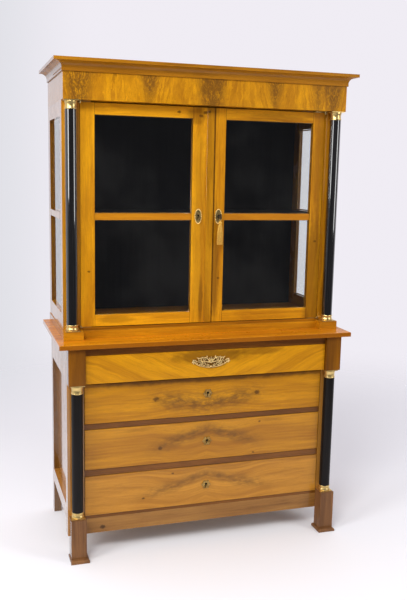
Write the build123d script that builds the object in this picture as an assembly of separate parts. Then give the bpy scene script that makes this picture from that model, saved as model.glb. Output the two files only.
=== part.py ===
"""Glazed cabinet on a four-drawer chest, with ebonised corner columns.

Millimetres.  +X to the right, +Y to the back, +Z up.  The origin is the middle of the
footprint on the floor.  Depths are measured forward from the back plane, and at() turns
a depth into a Y coordinate.  Each function below makes one piece or one set of equal
pieces, and every one of them is written to its own STEP file.
"""
import os
from math import cos, radians, sin

from build123d import *

# ---- driving dimensions: whole object
HEIGHT = 2100.0
DEPTH = 602.0
CLEARANCE = 0.3          # free space round a piece that moves in a mortise

# ---- driving dimensions: chest
SLAB_TOP = 955.4
SLAB_THICKNESS = 19.7
SLAB_WIDTH = 1321.0
SLAB_DEPTH = 592.0
CHEST_HALF = 622.4       # outer face of the chest's side
STILE_INNER = 551.0      # inner face of the front stiles
STILE_FACE = 523.0       # depth of the stile's front face
STILE_DEPTH = 48.0
REAR_POST = (35.0, 45.0)
SIDE_THICKNESS = 30.0
PANEL_RECESS = 20.0
SIDE_OPENING_Z = (222.0, 780.0)
SIDE_RAIL_BOTTOM = 160.0
BLOCK_FACE = 574.0
BLOCK_BOTTOM = 777.0
FOOT_HALF = 33.0
FOOT_X = 583.0
FOOT_TOP = 188.0
FOOT_FACE = 583.0
PAD_HEIGHT = 14.0
PAD_INWARD = 10.0
PAD_OUTWARD = 4.0
PAD_BEHIND = 6.0
PAD_CHAMFER = 5.0
APRON_Z = (96.0, 165.0)
RAIL_FACE = 521.0
RAIL_DEPTH = 60.0
TOP_RAIL_DEPTH = (495.0, 558.0)
TOP_RAIL_GAP = 1.5
APRON_THICKNESS = 20.0
BACK_THICKNESS = 12.0
SLAB_ROUNDING = 2.5

# ---- driving dimensions: drawers, from the top one down
DRAWER_FACE_Z = ((778.5, 899.5), (593.0, 767.0), (387.5, 566.0), (179.5, 357.0))
DRAWER_RAIL_Z = ((769.0, 789.0), (568.0, 591.0), (359.0, 385.5), (165.0, 177.5))
FRONT_FACE = (560.0, 524.5, 524.5, 524.5)
FRONT_THICKNESS = 22.0
FRONT_HALF = 549.0
TRAY_HALF = 547.5
TRAY_WALL = 12.0
TRAY_FLOOR = 8.0
TRAY_BACK = 60.0
TRAY_TOP_GAP = 14.0
RUNNER_CLEARANCE = 0.5
RUNNER_REACH = 26.0
RUNNER_THICKNESS = 12.0
GUIDE_GAP = 1.5
GUIDE_HEIGHT = 20.0
FRONT_CHAMFER = 1.2
KEYHOLE_Z = (0.0, 695.0, 475.0, 268.5)
DRAWER_BOLT = (14.0, 6.0, 42.0)   # half width, thickness, height
DRAWER_BOLT_DEPTH = 508.0
DRAWER_BOLT_TRAVEL = 8.0
SLOT_MARGIN = 2.0
KEYHOLE_RADIUS = 3.0
KEYHOLE_SLOT_HALF = 1.4
KEYHOLE_RISE = 2.0
KEYHOLE_DROP = 8.0

# ---- driving dimensions: brass mounts of the drawers
ROSETTE_RADIUS = 17.0
ROSETTE_THICKNESS = 2.5
ROSETTE_LOBES = 6
LOBE_PLACE = 16.5
LOBE_RADIUS = 8.5
BOSS_RADIUS = 9.5
BOSS_HEIGHT = 4.0
MOUNT_RISE = 9.0
MOUNT_THICKNESS = 4.0
MOUNT_EYE = (17.0, 6.0)           # radius, thickness
MOUNT_CREST = (22.0, 8.0)         # rise, radius
MOUNT_FOOT = (-20.0, 9.0)         # rise, radius
MOUNT_RINGS = ((29.0, 1.0, 16.5, 8.5), (55.0, -3.0, 13.0, 6.5))   # place, rise, outer, inner radius
MOUNT_LEAVES = ((71.0, 2.0, 7.5), (81.0, -1.0, 5.5))              # place, rise, radius

# ---- driving dimensions: columns
COLUMN_RADIUS = 24.3
COLUMN_GAP = 0.3
LOWER_COLUMN_X = 583.0
UPPER_COLUMN_X = 590.5
CAPITAL_HEIGHT = 37.0
BASE_HEIGHT = 28.0
PLATE_THICKNESS = 3.5
PLATE_HALF = 30.0
PLATE_FRONT = 26.0

# ---- driving dimensions: upper cabinet
CABINET_HALF = 625.7
POST_INNER = 552.5
POST_FACE = 452.0
POST_DEPTH = 48.0
SIDE_FRAME_THICKNESS = 24.0
REAR_STILE = 60.0
PLINTH_TOP = 988.0
PLINTH_FACE = 462.0
PLINTH_HALF = 629.0
PLINTH_BLOCK_X = (545.7, 631.5)
PLINTH_BLOCK_FACE = 502.0
PLINTH_BLOCK_TOP = 992.5
FLOOR_TOP = 1000.0
SIDE_GLASS_Z = (1057.0, 1879.0)
SIDE_BAR_Z = (1455.0, 1483.0)
FRIEZE_Z = (1941.0, 2049.5)
FRIEZE_FACE = 503.0
FRIEZE_THICKNESS = 22.0
SOFFIT_THICKNESS = 14.0
CORNICE_PROJECTION = 39.3
CORNICE_STEP = 5.0
CORNICE_LIP = 13.0
TOP_BOARD_THICKNESS = 18.0
SHELF_Z = (1462.0, 1480.0)
BATTEN = (24.0, 24.0, 12.0)
GLASS = 3.0

# ---- driving dimensions: doors
DOOR_Z = (1003.0, 1936.0)
DOOR_THICKNESS = 24.0
DOOR_OUTER = 550.5
LEFT_DOOR_EDGE = 28.5
RIGHT_DOOR_EDGE = 31.0
LEFT_SIGHT_X = (-490.0, -68.0)
RIGHT_SIGHT_X = (82.0, 494.0)
SIGHT_Z = (1052.0, 1889.0)
DOOR_BAR_Z = (1457.0, 1485.0)
REBATE = 7.0
REBATE_DEPTH = 12.0
STRIP_X = (-4.0, LEFT_DOOR_EDGE)
STRIP_THICKNESS = 4.0
HINGE_X = 551.5
HINGE_DEPTH = 457.5
HINGE_EYE = 5.0
HINGE_EYE_LENGTH = 5.0
HINGE_PIN = 2.0
HINGE_PIN_END = 6.5
PIN_CLEARANCE = 0.05
LEAF_REACH = (3.5, 46.0)          # from the hinge axis, under or over the door
LEAF_ARM = 10.0
LEAF_INSET = (2.0, 8.0, 18.0)     # front, arm and back, behind the door's face
DOOR_LEAVES = (1.4, 2.3)          # thickness below and above the door
CASE_LEAVES = (1.4, 2.5)          # thickness on the floor and under the soffit
LOCK_X = 55.0
LOCK_Z = 1473.0
LEFT_PLATE_X = -38.0
SHOOT_BOLT = (8.0, 12.0, 140.0)
SHOOT_FRONT = POST_FACE - 6.0
SHOOT_RIGHT = LEFT_DOOR_EDGE - 0.5
SHOOT_HOLE_DEPTH = 10.0
LOCK_BOLT_DEPTH = (433.0, 440.0)
LOCK_BOLT_Z = (1487.0, 1497.0)
LOCK_BOLT_LENGTH = 30.0
LOCK_MORTISE = 12.0
LOCK_CASE_WIDTH = 43.0
LOCK_CASE_FACE = POST_FACE - 8.0
LOCK_CASE_Z = (1440.0, 1508.0)
KEY_CHAMBER = ((432.0, 442.0), 12.0)   # depth, radius
KEY_BORE = 3.6
KEY_SHANK = 3.2
KEY_TIP = 433.5
KEY_BIT = (1.2, 6.5, 11.0)        # half width, length, height
KEY_COLLAR = ((458.0, 462.0), 5.0)     # depth, radius
KEY_BOW_DEPTH = 483.0
KEY_BOW = (12.5, 7.5, 4.0)        # outer radius, inner radius, thickness
SHANK_END = 9.0
PLATE_RADII = (17.0, 33.5)
PLATE_RIM = (3.5, 4.0)            # width, height
PLATE_BODY = 2.5
PLATE_SLOT = (1.6, 14.0)          # half width, drop
TASSEL_DEPTH = 481.0
TASSEL_FOOT = LOCK_Z - 122.0
TASSEL_HEAD = LOCK_Z - 32.0
TASSEL_LOOP = (1.6, LOCK_Z - 13.2)     # radius, top


def at(depth: float) -> float:
    """Y coordinate of a plane `depth` in front of the back plane."""
    return DEPTH / 2 - depth


def block(x: tuple, depth: tuple, z: tuple) -> Part:
    """Rectangular solid between two limits along X, in depth and along Z."""
    low = (min(x), at(max(depth)), min(z))
    high = (max(x), at(min(depth)), max(z))
    centre = [(a + b) / 2 for a, b in zip(low, high)]
    size = [b - a for a, b in zip(low, high)]
    return Pos(*centre) * Box(*size)


def mirrored(solid: Part, side: int) -> Part:
    """The same piece on the right (side 1) or, mirrored, on the left (side -1)."""
    return solid if side > 0 else mirror(solid, about=Plane.YZ)


def pin(x: float, depth: float, z: tuple, radius: float) -> Part:
    """Upright round bar."""
    height = max(z) - min(z)
    return Pos(x, at(depth), min(z) + height / 2) * Cylinder(radius, height)


def bar_along_y(x: float, z: float, depth: tuple, radius: float) -> Part:
    """Round bar that runs from front to back."""
    length = max(depth) - min(depth)
    middle = (max(depth) + min(depth)) / 2
    return Pos(x, at(middle), z) * Rot(90, 0, 0) * Cylinder(radius, length)


# ------------------------------------------------------------------ chest
def chest_top() -> Part:
    """Slab that closes the chest and carries the cabinet."""
    half = SLAB_WIDTH / 2
    slab = block((-half, half), (0, SLAB_DEPTH), (SLAB_TOP - SLAB_THICKNESS, SLAB_TOP))
    rim = slab.edges().filter_by(GeomType.LINE).group_by(Axis.Z)[-1].sort_by(Axis.Y)[:-1]
    return fillet(rim, SLAB_ROUNDING)


def chest_side_frame(side: int) -> Part:
    """Front stile, rear leg and two rails round the side panel."""
    under_slab = SLAB_TOP - SLAB_THICKNESS
    stile_back = STILE_FACE - STILE_DEPTH
    post_width, post_depth = REAR_POST
    rail_x = (CHEST_HALF - SIDE_THICKNESS, CHEST_HALF)
    rail_depth = (post_depth, stile_back)
    frame = block((STILE_INNER, CHEST_HALF), (stile_back, STILE_FACE), (APRON_Z[0], under_slab))
    frame += block((CHEST_HALF - post_width, CHEST_HALF), (0, post_depth), (0, under_slab))
    frame += block(rail_x, rail_depth, (SIDE_OPENING_Z[1], under_slab))
    frame += block(rail_x, rail_depth, (SIDE_RAIL_BOTTOM, SIDE_OPENING_Z[0]))
    return mirrored(frame, side)


def chest_side_panel(side: int) -> Part:
    """Panel set back in the side frame."""
    panel_x = (CHEST_HALF - SIDE_THICKNESS, CHEST_HALF - PANEL_RECESS)
    panel = block(panel_x, (REAR_POST[1], STILE_FACE - STILE_DEPTH), SIDE_OPENING_Z)
    return mirrored(panel, side)


def bolt_slot(z_low: float) -> Part:
    """Slot in the underside of a rail for the drawer bolt below it."""
    half, thickness, _ = DRAWER_BOLT
    depth = (DRAWER_BOLT_DEPTH - SLOT_MARGIN, DRAWER_BOLT_DEPTH + thickness + SLOT_MARGIN)
    return block((-half - SLOT_MARGIN, half + SLOT_MARGIN), depth,
                 (z_low - 1, z_low + DRAWER_BOLT_TRAVEL))


def drawer_rails() -> list:
    """Rail under the slab and the rail below each drawer."""
    top_face_z = DRAWER_FACE_Z[0][1] + TOP_RAIL_GAP
    rails = [block((-STILE_INNER, STILE_INNER), TOP_RAIL_DEPTH,
                   (top_face_z, SLAB_TOP - SLAB_THICKNESS))]
    for z in DRAWER_RAIL_Z:
        rail = block((-STILE_INNER, STILE_INNER), (RAIL_FACE - RAIL_DEPTH, RAIL_FACE), z)
        if z is not DRAWER_RAIL_Z[-1]:
            rail -= bolt_slot(z[0])
        rails.append(rail)
    return rails


def chest_apron() -> Part:
    """Board between the front stiles under the lowest drawer."""
    return block((-STILE_INNER, STILE_INNER), (RAIL_FACE - APRON_THICKNESS, RAIL_FACE), APRON_Z)


def corner_blocks() -> list:
    """Blocks beside the frieze drawer, over the columns."""
    shape = block((STILE_INNER, CHEST_HALF), (STILE_FACE, BLOCK_FACE),
                  (BLOCK_BOTTOM, SLAB_TOP - SLAB_THICKNESS))
    return [mirrored(shape, side) for side in (-1, 1)]


def front_feet() -> list:
    """Square feet under the lower columns, each with a chamfered pad."""
    foot = block((FOOT_X - FOOT_HALF, FOOT_X + FOOT_HALF), (STILE_FACE, FOOT_FACE),
                 (PAD_HEIGHT, FOOT_TOP))
    pad = block((FOOT_X - FOOT_HALF - PAD_INWARD, FOOT_X + FOOT_HALF + PAD_OUTWARD),
                (STILE_FACE - PAD_BEHIND, DEPTH), (0, PAD_HEIGHT))
    pad = chamfer(pad.edges().group_by(Axis.Z)[-1], PAD_CHAMFER)
    return [mirrored(foot + pad, side) for side in (-1, 1)]


def drawer_runners() -> list:
    """One runner with its side guide for each side of each drawer."""
    runners = []
    depth = (REAR_POST[1], RAIL_FACE - RAIL_DEPTH)
    wall = CHEST_HALF - SIDE_THICKNESS
    for z in DRAWER_RAIL_Z:
        runner = block((STILE_INNER - RUNNER_REACH, wall), depth, (z[1] - RUNNER_THICKNESS, z[1]))
        runner += block((TRAY_HALF + GUIDE_GAP, wall), depth, (z[1], z[1] + GUIDE_HEIGHT))
        runners += [mirrored(runner, side) for side in (-1, 1)]
    return runners


def chest_back_panel() -> Part:
    """Board that closes the back of the chest."""
    half = CHEST_HALF - REAR_POST[0]
    return block((-half, half), (0, BACK_THICKNESS), (APRON_Z[1], SLAB_TOP - SLAB_THICKNESS))


# ------------------------------------------------------------------ drawers
def drawer_front(index: int) -> Part:
    """Front board; the three lower ones have a lock mortise and a keyhole."""
    face = FRONT_FACE[index]
    z = DRAWER_FACE_Z[index]
    front = block((-FRONT_HALF, FRONT_HALF), (face - FRONT_THICKNESS, face), z)
    front = chamfer(front.faces().sort_by(Axis.Y)[0].edges(), FRONT_CHAMFER)
    if index == 0:
        return front
    half, thickness, height = DRAWER_BOLT
    depth = (DRAWER_BOLT_DEPTH - CLEARANCE, DRAWER_BOLT_DEPTH + thickness + CLEARANCE)
    front -= block((-half - CLEARANCE, half + CLEARANCE), depth, (z[1] - height - 3, z[1] + 1))
    return front - keyhole(0, KEYHOLE_Z[index], (face - FRONT_THICKNESS - 1, face + 1))


def keyhole(x: float, z: float, depth: tuple) -> Part:
    """Round hole with a slot below it, cut from front to back."""
    slot = block((x - KEYHOLE_SLOT_HALF, x + KEYHOLE_SLOT_HALF), depth,
                 (z - KEYHOLE_DROP, z + KEYHOLE_RISE))
    return bar_along_y(x, z + KEYHOLE_RISE, depth, KEYHOLE_RADIUS) + slot


def drawer_tray(index: int) -> Part:
    """Sides, back and bottom of a drawer."""
    low = DRAWER_RAIL_Z[index][1] + RUNNER_CLEARANCE
    high = DRAWER_FACE_Z[index][1] - TRAY_TOP_GAP
    depth = (TRAY_BACK, FRONT_FACE[index] - FRONT_THICKNESS)
    tray = block((-TRAY_HALF, TRAY_HALF), depth, (low, high))
    inner = TRAY_HALF - TRAY_WALL
    return tray - block((-inner, inner), (depth[0] + TRAY_WALL, depth[1] + 1),
                        (low + TRAY_FLOOR, high + 1))


def drawer_bolt(index: int) -> Part:
    """Bolt that rises from the drawer front into the rail above."""
    half, thickness, height = DRAWER_BOLT
    top = DRAWER_FACE_Z[index][1] - 1
    depth = (DRAWER_BOLT_DEPTH, DRAWER_BOLT_DEPTH + thickness)
    return block((-half, half), depth, (top - height, top))


def keyhole_rosette(index: int) -> Part:
    """Six-lobed keyhole plate."""
    face = FRONT_FACE[index]
    z = KEYHOLE_Z[index]
    depth = (face, face + ROSETTE_THICKNESS)
    plate = bar_along_y(0, z, depth, ROSETTE_RADIUS)
    for lobe in range(ROSETTE_LOBES):
        angle = radians(360 * (lobe + 0.5) / ROSETTE_LOBES)
        place = (LOBE_PLACE * cos(angle), z + LOBE_PLACE * sin(angle))
        plate += bar_along_y(*place, depth, LOBE_RADIUS)
    plate += bar_along_y(0, z, (face, face + BOSS_HEIGHT), BOSS_RADIUS)
    return plate - keyhole(0, z, (face - 1, face + 5))


def frieze_mount() -> Part:
    """Pierced mount of rings and leaves on the frieze drawer."""
    face = FRONT_FACE[0]
    z = sum(DRAWER_FACE_Z[0]) / 2 + MOUNT_RISE
    depth = (face, face + MOUNT_THICKNESS)
    eye_radius, eye_thickness = MOUNT_EYE
    mount = bar_along_y(0, z, (face, face + eye_thickness), eye_radius)
    for rise, radius in (MOUNT_CREST, MOUNT_FOOT):
        mount += bar_along_y(0, z + rise, depth, radius)
    for side in (-1, 1):
        for x, rise, outer, inner in MOUNT_RINGS:
            mount += bar_along_y(side * x, z + rise, depth, outer)
            mount -= bar_along_y(side * x, z + rise, (face - 1, face + eye_thickness + 1), inner)
        for x, rise, radius in MOUNT_LEAVES:
            mount += bar_along_y(side * x, z + rise, depth, radius)
    return mount


# ------------------------------------------------------------------ columns
def turned(profile: list, x: float, depth: float) -> Part:
    """Solid of revolution about an upright axis, from (radius, height) points."""
    outline = [(0, profile[0][1])] + profile + [(0, profile[-1][1])]
    face = Plane.XZ * make_face(Polyline(*outline, close=True))
    return Pos(x, at(depth), 0) * revolve(face, Axis.Z)


def cove(low: tuple, high: tuple, waist: float, steps: int = 6) -> list:
    """Points of a hollow curve between two (radius, height) points."""
    points = []
    for step in range(1, steps):
        t = step / steps
        line = low[0] + (high[0] - low[0]) * t
        points.append((line - waist * sin(radians(180 * t)), low[1] + (high[1] - low[1]) * t))
    return points


def capital(x: float, depth: float, top: float) -> Part:
    """Brass capital: ring, hollow drum, flange and square plate."""
    low = top - CAPITAL_HEIGHT
    drum_top = top - PLATE_THICKNESS
    profile = [(25.2, low), (25.8, low + 2.5), (25.2, low + 5), (24.2, low + 6)]
    profile += cove((24.2, low + 6), (25.6, drum_top - 6), 1.8)
    profile += [(25.6, drum_top - 6), (26.0, drum_top - 3), (25.6, drum_top)]
    plate = block((x - PLATE_HALF, x + PLATE_HALF),
                  (depth - COLUMN_RADIUS - COLUMN_GAP, depth + PLATE_FRONT), (drum_top, top))
    return trimmed(turned(profile, x, depth), depth) + plate


def base(x: float, depth: float, low: float) -> Part:
    """Brass base: square plate, round swelling, hollow and neck ring."""
    start = low + PLATE_THICKNESS
    top = low + BASE_HEIGHT
    profile = [(25.4, start), (26.2, start + 3), (26.2, start + 6), (25.2, start + 9)]
    profile += cove((25.2, start + 9), (24.6, top - 6), 1.2)
    profile += [(24.6, top - 6), (25.6, top - 4), (25.6, top - 1.5), (25.0, top)]
    plate = block((x - PLATE_HALF, x + PLATE_HALF),
                  (depth - COLUMN_RADIUS - COLUMN_GAP, depth + PLATE_FRONT), (low, start))
    return trimmed(turned(profile, x, depth), depth) + plate


def trimmed(solid: Part, depth: float) -> Part:
    """Cut flat at the back, where the stile stands close behind a column."""
    back = depth - COLUMN_RADIUS - COLUMN_GAP
    return solid - block((-HEIGHT, HEIGHT), (0, back), (0, HEIGHT))


def column_places() -> list:
    """(x, depth, foot height, head height) of the four columns."""
    lower = STILE_FACE + COLUMN_GAP + COLUMN_RADIUS
    upper = POST_FACE + COLUMN_GAP + COLUMN_RADIUS
    places = []
    for side in (-1, 1):
        places.append((side * LOWER_COLUMN_X, lower, FOOT_TOP, BLOCK_BOTTOM))
    for side in (-1, 1):
        places.append((side * UPPER_COLUMN_X, upper, PLINTH_BLOCK_TOP, FRIEZE_Z[0]))
    return places


def column(place: tuple) -> Part:
    """Ebonised shaft between a base and a capital."""
    x, depth, foot, head = place
    return pin(x, depth, (foot + BASE_HEIGHT, head - CAPITAL_HEIGHT), COLUMN_RADIUS)


# ------------------------------------------------------------------ cabinet
def plinth_frame() -> Part:
    """Low frame on the slab that the cabinet stands on."""
    z = (SLAB_TOP, PLINTH_TOP)
    frame = block((-PLINTH_HALF, PLINTH_HALF), (POST_FACE - 22, POST_FACE), z)
    frame += block((-PLINTH_BLOCK_X[0], PLINTH_BLOCK_X[0]), (POST_FACE, PLINTH_FACE), z)
    for side in (-1, 1):
        frame += block((side * (PLINTH_HALF - 23), side * PLINTH_HALF), (0, POST_FACE - 22), z)
    return frame


def plinth_blocks() -> list:
    """Blocks under the upper columns."""
    shape = block(PLINTH_BLOCK_X, (POST_FACE, PLINTH_BLOCK_FACE), (SLAB_TOP, PLINTH_BLOCK_TOP))
    return [mirrored(shape, side) for side in (-1, 1)]


def cabinet_floor() -> Part:
    """Bottom board, its front edge flush with the doors."""
    inner = CABINET_HALF - SIDE_FRAME_THICKNESS
    post_back = POST_FACE - POST_DEPTH
    z = (PLINTH_TOP, FLOOR_TOP)
    board = block((-inner, inner), (BACK_THICKNESS, post_back), z)
    board += block((-POST_INNER, POST_INNER), (post_back, POST_FACE), z)
    return board - shoot_bolt_hole((FLOOR_TOP - SHOOT_HOLE_DEPTH, FLOOR_TOP + 1))


def cabinet_side_frame(side: int) -> Part:
    """Front post, rear stile, two rails and the glazing bar of one side."""
    thickness_x = (CABINET_HALF - SIDE_FRAME_THICKNESS, CABINET_HALF)
    post_back = POST_FACE - POST_DEPTH
    full = (PLINTH_TOP, FRIEZE_Z[0])
    frame = block((POST_INNER, CABINET_HALF), (post_back, POST_FACE), full)
    frame += block(thickness_x, (0, REAR_STILE), full)
    frame += block(thickness_x, (REAR_STILE, post_back), (full[0], SIDE_GLASS_Z[0]))
    frame += block(thickness_x, (REAR_STILE, post_back), (SIDE_GLASS_Z[1], full[1]))
    frame += block(thickness_x, (REAR_STILE, post_back), SIDE_BAR_Z)
    return mirrored(frame, side)


def side_panes() -> list:
    """Two panes in each side."""
    middle = CABINET_HALF - SIDE_FRAME_THICKNESS / 2
    pane_x = (middle - GLASS / 2, middle + GLASS / 2)
    panes = []
    for side in (-1, 1):
        for z in ((SIDE_GLASS_Z[0], SIDE_BAR_Z[0]), (SIDE_BAR_Z[1], SIDE_GLASS_Z[1])):
            pane = block(pane_x, (REAR_STILE, POST_FACE - POST_DEPTH), z)
            panes.append(mirrored(pane, side))
    return panes


def frieze() -> Part:
    """Front and side boards over the columns, with the soffit behind the front."""
    inner_x = CABINET_HALF - FRIEZE_THICKNESS
    inner_depth = FRIEZE_FACE - FRIEZE_THICKNESS
    box = block((-CABINET_HALF, CABINET_HALF), (inner_depth, FRIEZE_FACE), FRIEZE_Z)
    for side in (-1, 1):
        box += block((side * inner_x, side * CABINET_HALF), (0, inner_depth), FRIEZE_Z)
    soffit_z = (FRIEZE_Z[0], FRIEZE_Z[0] + SOFFIT_THICKNESS)
    box += block((-inner_x, inner_x), (POST_FACE - POST_DEPTH, inner_depth), soffit_z)
    return box - shoot_bolt_hole((FRIEZE_Z[0] - 1, FRIEZE_Z[0] + SHOOT_HOLE_DEPTH))


def cornice_outline(reach: float) -> list:
    """Half profile of the cornice as lines and one hollow curve, from (0, 0) to the top."""
    low = FRIEZE_Z[1]
    lip = HEIGHT - CORNICE_LIP
    start = (reach + CORNICE_STEP, low + 7)
    end = (reach + CORNICE_PROJECTION - 3, lip)
    hollow = (start[0] + 6, end[1] - 9)
    return [
        Polyline((0, low), (reach + CORNICE_STEP, low), start),
        ThreePointArc(start, hollow, end),
        Polyline(end, (reach + CORNICE_PROJECTION, lip), (reach + CORNICE_PROJECTION, HEIGHT),
                 (0, HEIGHT), (0, low)),
    ]


def cornice() -> Part:
    """Mitred moulding round the front and sides of the top."""
    front_face = make_face(Curve() + cornice_outline(FRIEZE_FACE))
    side_face = make_face(Curve() + cornice_outline(CABINET_HALF))
    front = extrude(Plane.YZ * mirror(front_face, about=Plane.YZ), SLAB_WIDTH, both=True)
    front = Pos(0, DEPTH / 2, 0) * front
    right = extrude(Plane.XZ * side_face, DEPTH, both=True)
    sides = right + mirror(right, about=Plane.YZ)
    inner_x = CABINET_HALF - FRIEZE_THICKNESS
    well = block((-inner_x, inner_x), (-1, FRIEZE_FACE - FRIEZE_THICKNESS),
                 (FRIEZE_Z[1] - 1, HEIGHT + 1))
    return (front & sides) - well


def cabinet_top_board() -> Part:
    """Board that closes the cabinet, level with the top of the frieze."""
    half = CABINET_HALF - FRIEZE_THICKNESS
    return block((-half, half), (0, FRIEZE_FACE - FRIEZE_THICKNESS),
                 (FRIEZE_Z[1] - TOP_BOARD_THICKNESS, FRIEZE_Z[1]))


def cabinet_back_panel() -> Part:
    """Board that closes the back of the cabinet, dark on the inside."""
    half = CABINET_HALF - SIDE_FRAME_THICKNESS
    return block((-half, half), (0, BACK_THICKNESS),
                 (PLINTH_TOP, FRIEZE_Z[1] - TOP_BOARD_THICKNESS))


def shelf() -> Part:
    """Shelf behind the glazing bars."""
    half = CABINET_HALF - SIDE_FRAME_THICKNESS - 0.7
    return block((-half, half), (BACK_THICKNESS + 1, POST_FACE - POST_DEPTH - 6), SHELF_Z)


def shelf_battens() -> list:
    """Small blocks on the side frames that carry the shelf."""
    width, depth, height = BATTEN
    wall = CABINET_HALF - SIDE_FRAME_THICKNESS
    battens = []
    for rear in (REAR_STILE - depth, POST_FACE - POST_DEPTH - depth):
        shape = block((wall - width, wall), (rear, rear + depth), (SHELF_Z[0] - height, SHELF_Z[0]))
        battens += [mirrored(shape, side) for side in (-1, 1)]
    return battens


# ------------------------------------------------------------------ doors
def glazed_door(x: tuple, sight_x: tuple) -> Part:
    """Door frame with a glazing bar, rebated behind for two panes."""
    back = POST_FACE - DOOR_THICKNESS
    frame = block(x, (back, POST_FACE), DOOR_Z)
    rebate_front = back + REBATE_DEPTH
    for z in ((SIGHT_Z[0], DOOR_BAR_Z[0]), (DOOR_BAR_Z[1], SIGHT_Z[1])):
        frame -= block(sight_x, (back - 1, POST_FACE + 1), z)
        frame -= block((sight_x[0] - REBATE, sight_x[1] + REBATE), (back - 1, rebate_front),
                       (z[0] - REBATE, z[1] + REBATE))
    bar_recess = block(sight_x, (POST_FACE - 2.5, POST_FACE + 1), DOOR_BAR_Z)
    return frame - bar_recess


def shoot_bolt_hole(z: tuple) -> Part:
    """Hole that takes a shoot bolt of the left door."""
    width, thickness, _ = SHOOT_BOLT
    return block((SHOOT_RIGHT - width - 1, SHOOT_RIGHT + 1),
                 (SHOOT_FRONT - thickness - 1, SHOOT_FRONT + 1), z)


def shoot_bolt(end: int) -> Part:
    """Flush bolt in the meeting edge: end 1 at the top, -1 at the bottom."""
    width, thickness, length = SHOOT_BOLT
    tip = DOOR_Z[1] - 1 if end > 0 else DOOR_Z[0] + 1
    return block((SHOOT_RIGHT - width, SHOOT_RIGHT), (SHOOT_FRONT - thickness, SHOOT_FRONT),
                 (tip, tip - end * length))


def shoot_bolt_groove(end: int) -> Part:
    """Groove in the left door's meeting edge round a shoot bolt and its travel."""
    width, thickness, length = SHOOT_BOLT
    edge = DOOR_Z[1] if end > 0 else DOOR_Z[0]
    return block((SHOOT_RIGHT - width - CLEARANCE, SHOOT_RIGHT + 2),
                 (SHOOT_FRONT - thickness - CLEARANCE, SHOOT_FRONT + CLEARANCE),
                 (edge + end, edge - end * (length + 4)))


def lock_bolt_space(x: tuple, margin: float) -> Part:
    """Space of the lock bolt, wider by a margin across its length."""
    depth = (LOCK_BOLT_DEPTH[0] - margin, LOCK_BOLT_DEPTH[1] + margin)
    return block(x, depth, (LOCK_BOLT_Z[0] - margin, LOCK_BOLT_Z[1] + margin))


def lock_bolt() -> Part:
    """Bolt of the right door's lock, drawn back."""
    start = RIGHT_DOOR_EDGE + 1
    return lock_bolt_space((start, start + LOCK_BOLT_LENGTH), 0)


def lock_case_box() -> Part:
    """Outline of the lock case, let into the back of the right door's meeting stile."""
    return block((RIGHT_DOOR_EDGE, RIGHT_DOOR_EDGE + LOCK_CASE_WIDTH),
                 (POST_FACE - DOOR_THICKNESS, LOCK_CASE_FACE), LOCK_CASE_Z)


def door_lock() -> Part:
    """Lock case with a channel for the bolt and a chamber for the key bit."""
    chamber_depth, chamber_radius = KEY_CHAMBER
    channel = (RIGHT_DOOR_EDGE - 1, RIGHT_DOOR_EDGE + LOCK_BOLT_LENGTH + 4)
    case = lock_case_box() - lock_bolt_space(channel, CLEARANCE)
    case -= bar_along_y(LOCK_X, LOCK_Z, chamber_depth, chamber_radius)
    return case - bar_along_y(LOCK_X, LOCK_Z, (chamber_depth[1] - 1, POST_FACE), KEY_BORE)


def door_frame_left() -> Part:
    """Left door, with grooves for the shoot bolts and a mortise for the lock bolt."""
    frame = glazed_door((-DOOR_OUTER, LEFT_DOOR_EDGE), LEFT_SIGHT_X)
    for end in (-1, 1):
        frame -= shoot_bolt_groove(end)
    return frame - lock_bolt_space((LEFT_DOOR_EDGE - LOCK_MORTISE, LEFT_DOOR_EDGE + 1), 1)


def door_frame_right() -> Part:
    """Right door, with the lock let in from behind and a hole for the key."""
    frame = glazed_door((RIGHT_DOOR_EDGE, DOOR_OUTER), RIGHT_SIGHT_X)
    frame -= lock_case_box()
    return frame - bar_along_y(LOCK_X, LOCK_Z, (LOCK_CASE_FACE - 4, POST_FACE + 1), KEY_BORE)


def door_panes(sight_x: tuple) -> list:
    """Two panes in the rebates of one door."""
    front = POST_FACE - DOOR_THICKNESS + REBATE_DEPTH
    reach = REBATE - 0.5
    x = (sight_x[0] - reach, sight_x[1] + reach)
    panes = []
    for z in ((SIGHT_Z[0], DOOR_BAR_Z[0]), (DOOR_BAR_Z[1], SIGHT_Z[1])):
        panes.append(block(x, (front - GLASS, front), (z[0] - reach, z[1] + reach)))
    return panes


def meeting_strip() -> Part:
    """Flat strip planted on the left door's meeting stile."""
    strip = block(STRIP_X, (POST_FACE, POST_FACE + STRIP_THICKNESS), DOOR_Z)
    return chamfer(strip.faces().sort_by(Axis.Y)[0].edges().filter_by(Axis.Z), 1.0)


def door_escutcheon(x: float) -> Part:
    """Oval keyhole plate with a raised rim."""
    plane = Plane(origin=(x, at(POST_FACE), LOCK_Z), x_dir=(1, 0, 0), z_dir=(0, -1, 0))
    width, height = PLATE_RADII
    rim_width, rim_height = PLATE_RIM
    slot_half, slot_drop = PLATE_SLOT
    plate = extrude(plane * Ellipse(width, height), PLATE_BODY)
    rim = Ellipse(width, height) - Ellipse(width - rim_width, height - rim_width)
    rim = extrude(plane * rim, rim_height)
    depth = (POST_FACE - 1, POST_FACE + rim_height + 1)
    hole = bar_along_y(x, LOCK_Z, depth, KEY_BORE)
    hole += block((x - slot_half, x + slot_half), depth, (LOCK_Z - slot_drop, LOCK_Z))
    return plate + rim - hole


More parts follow.
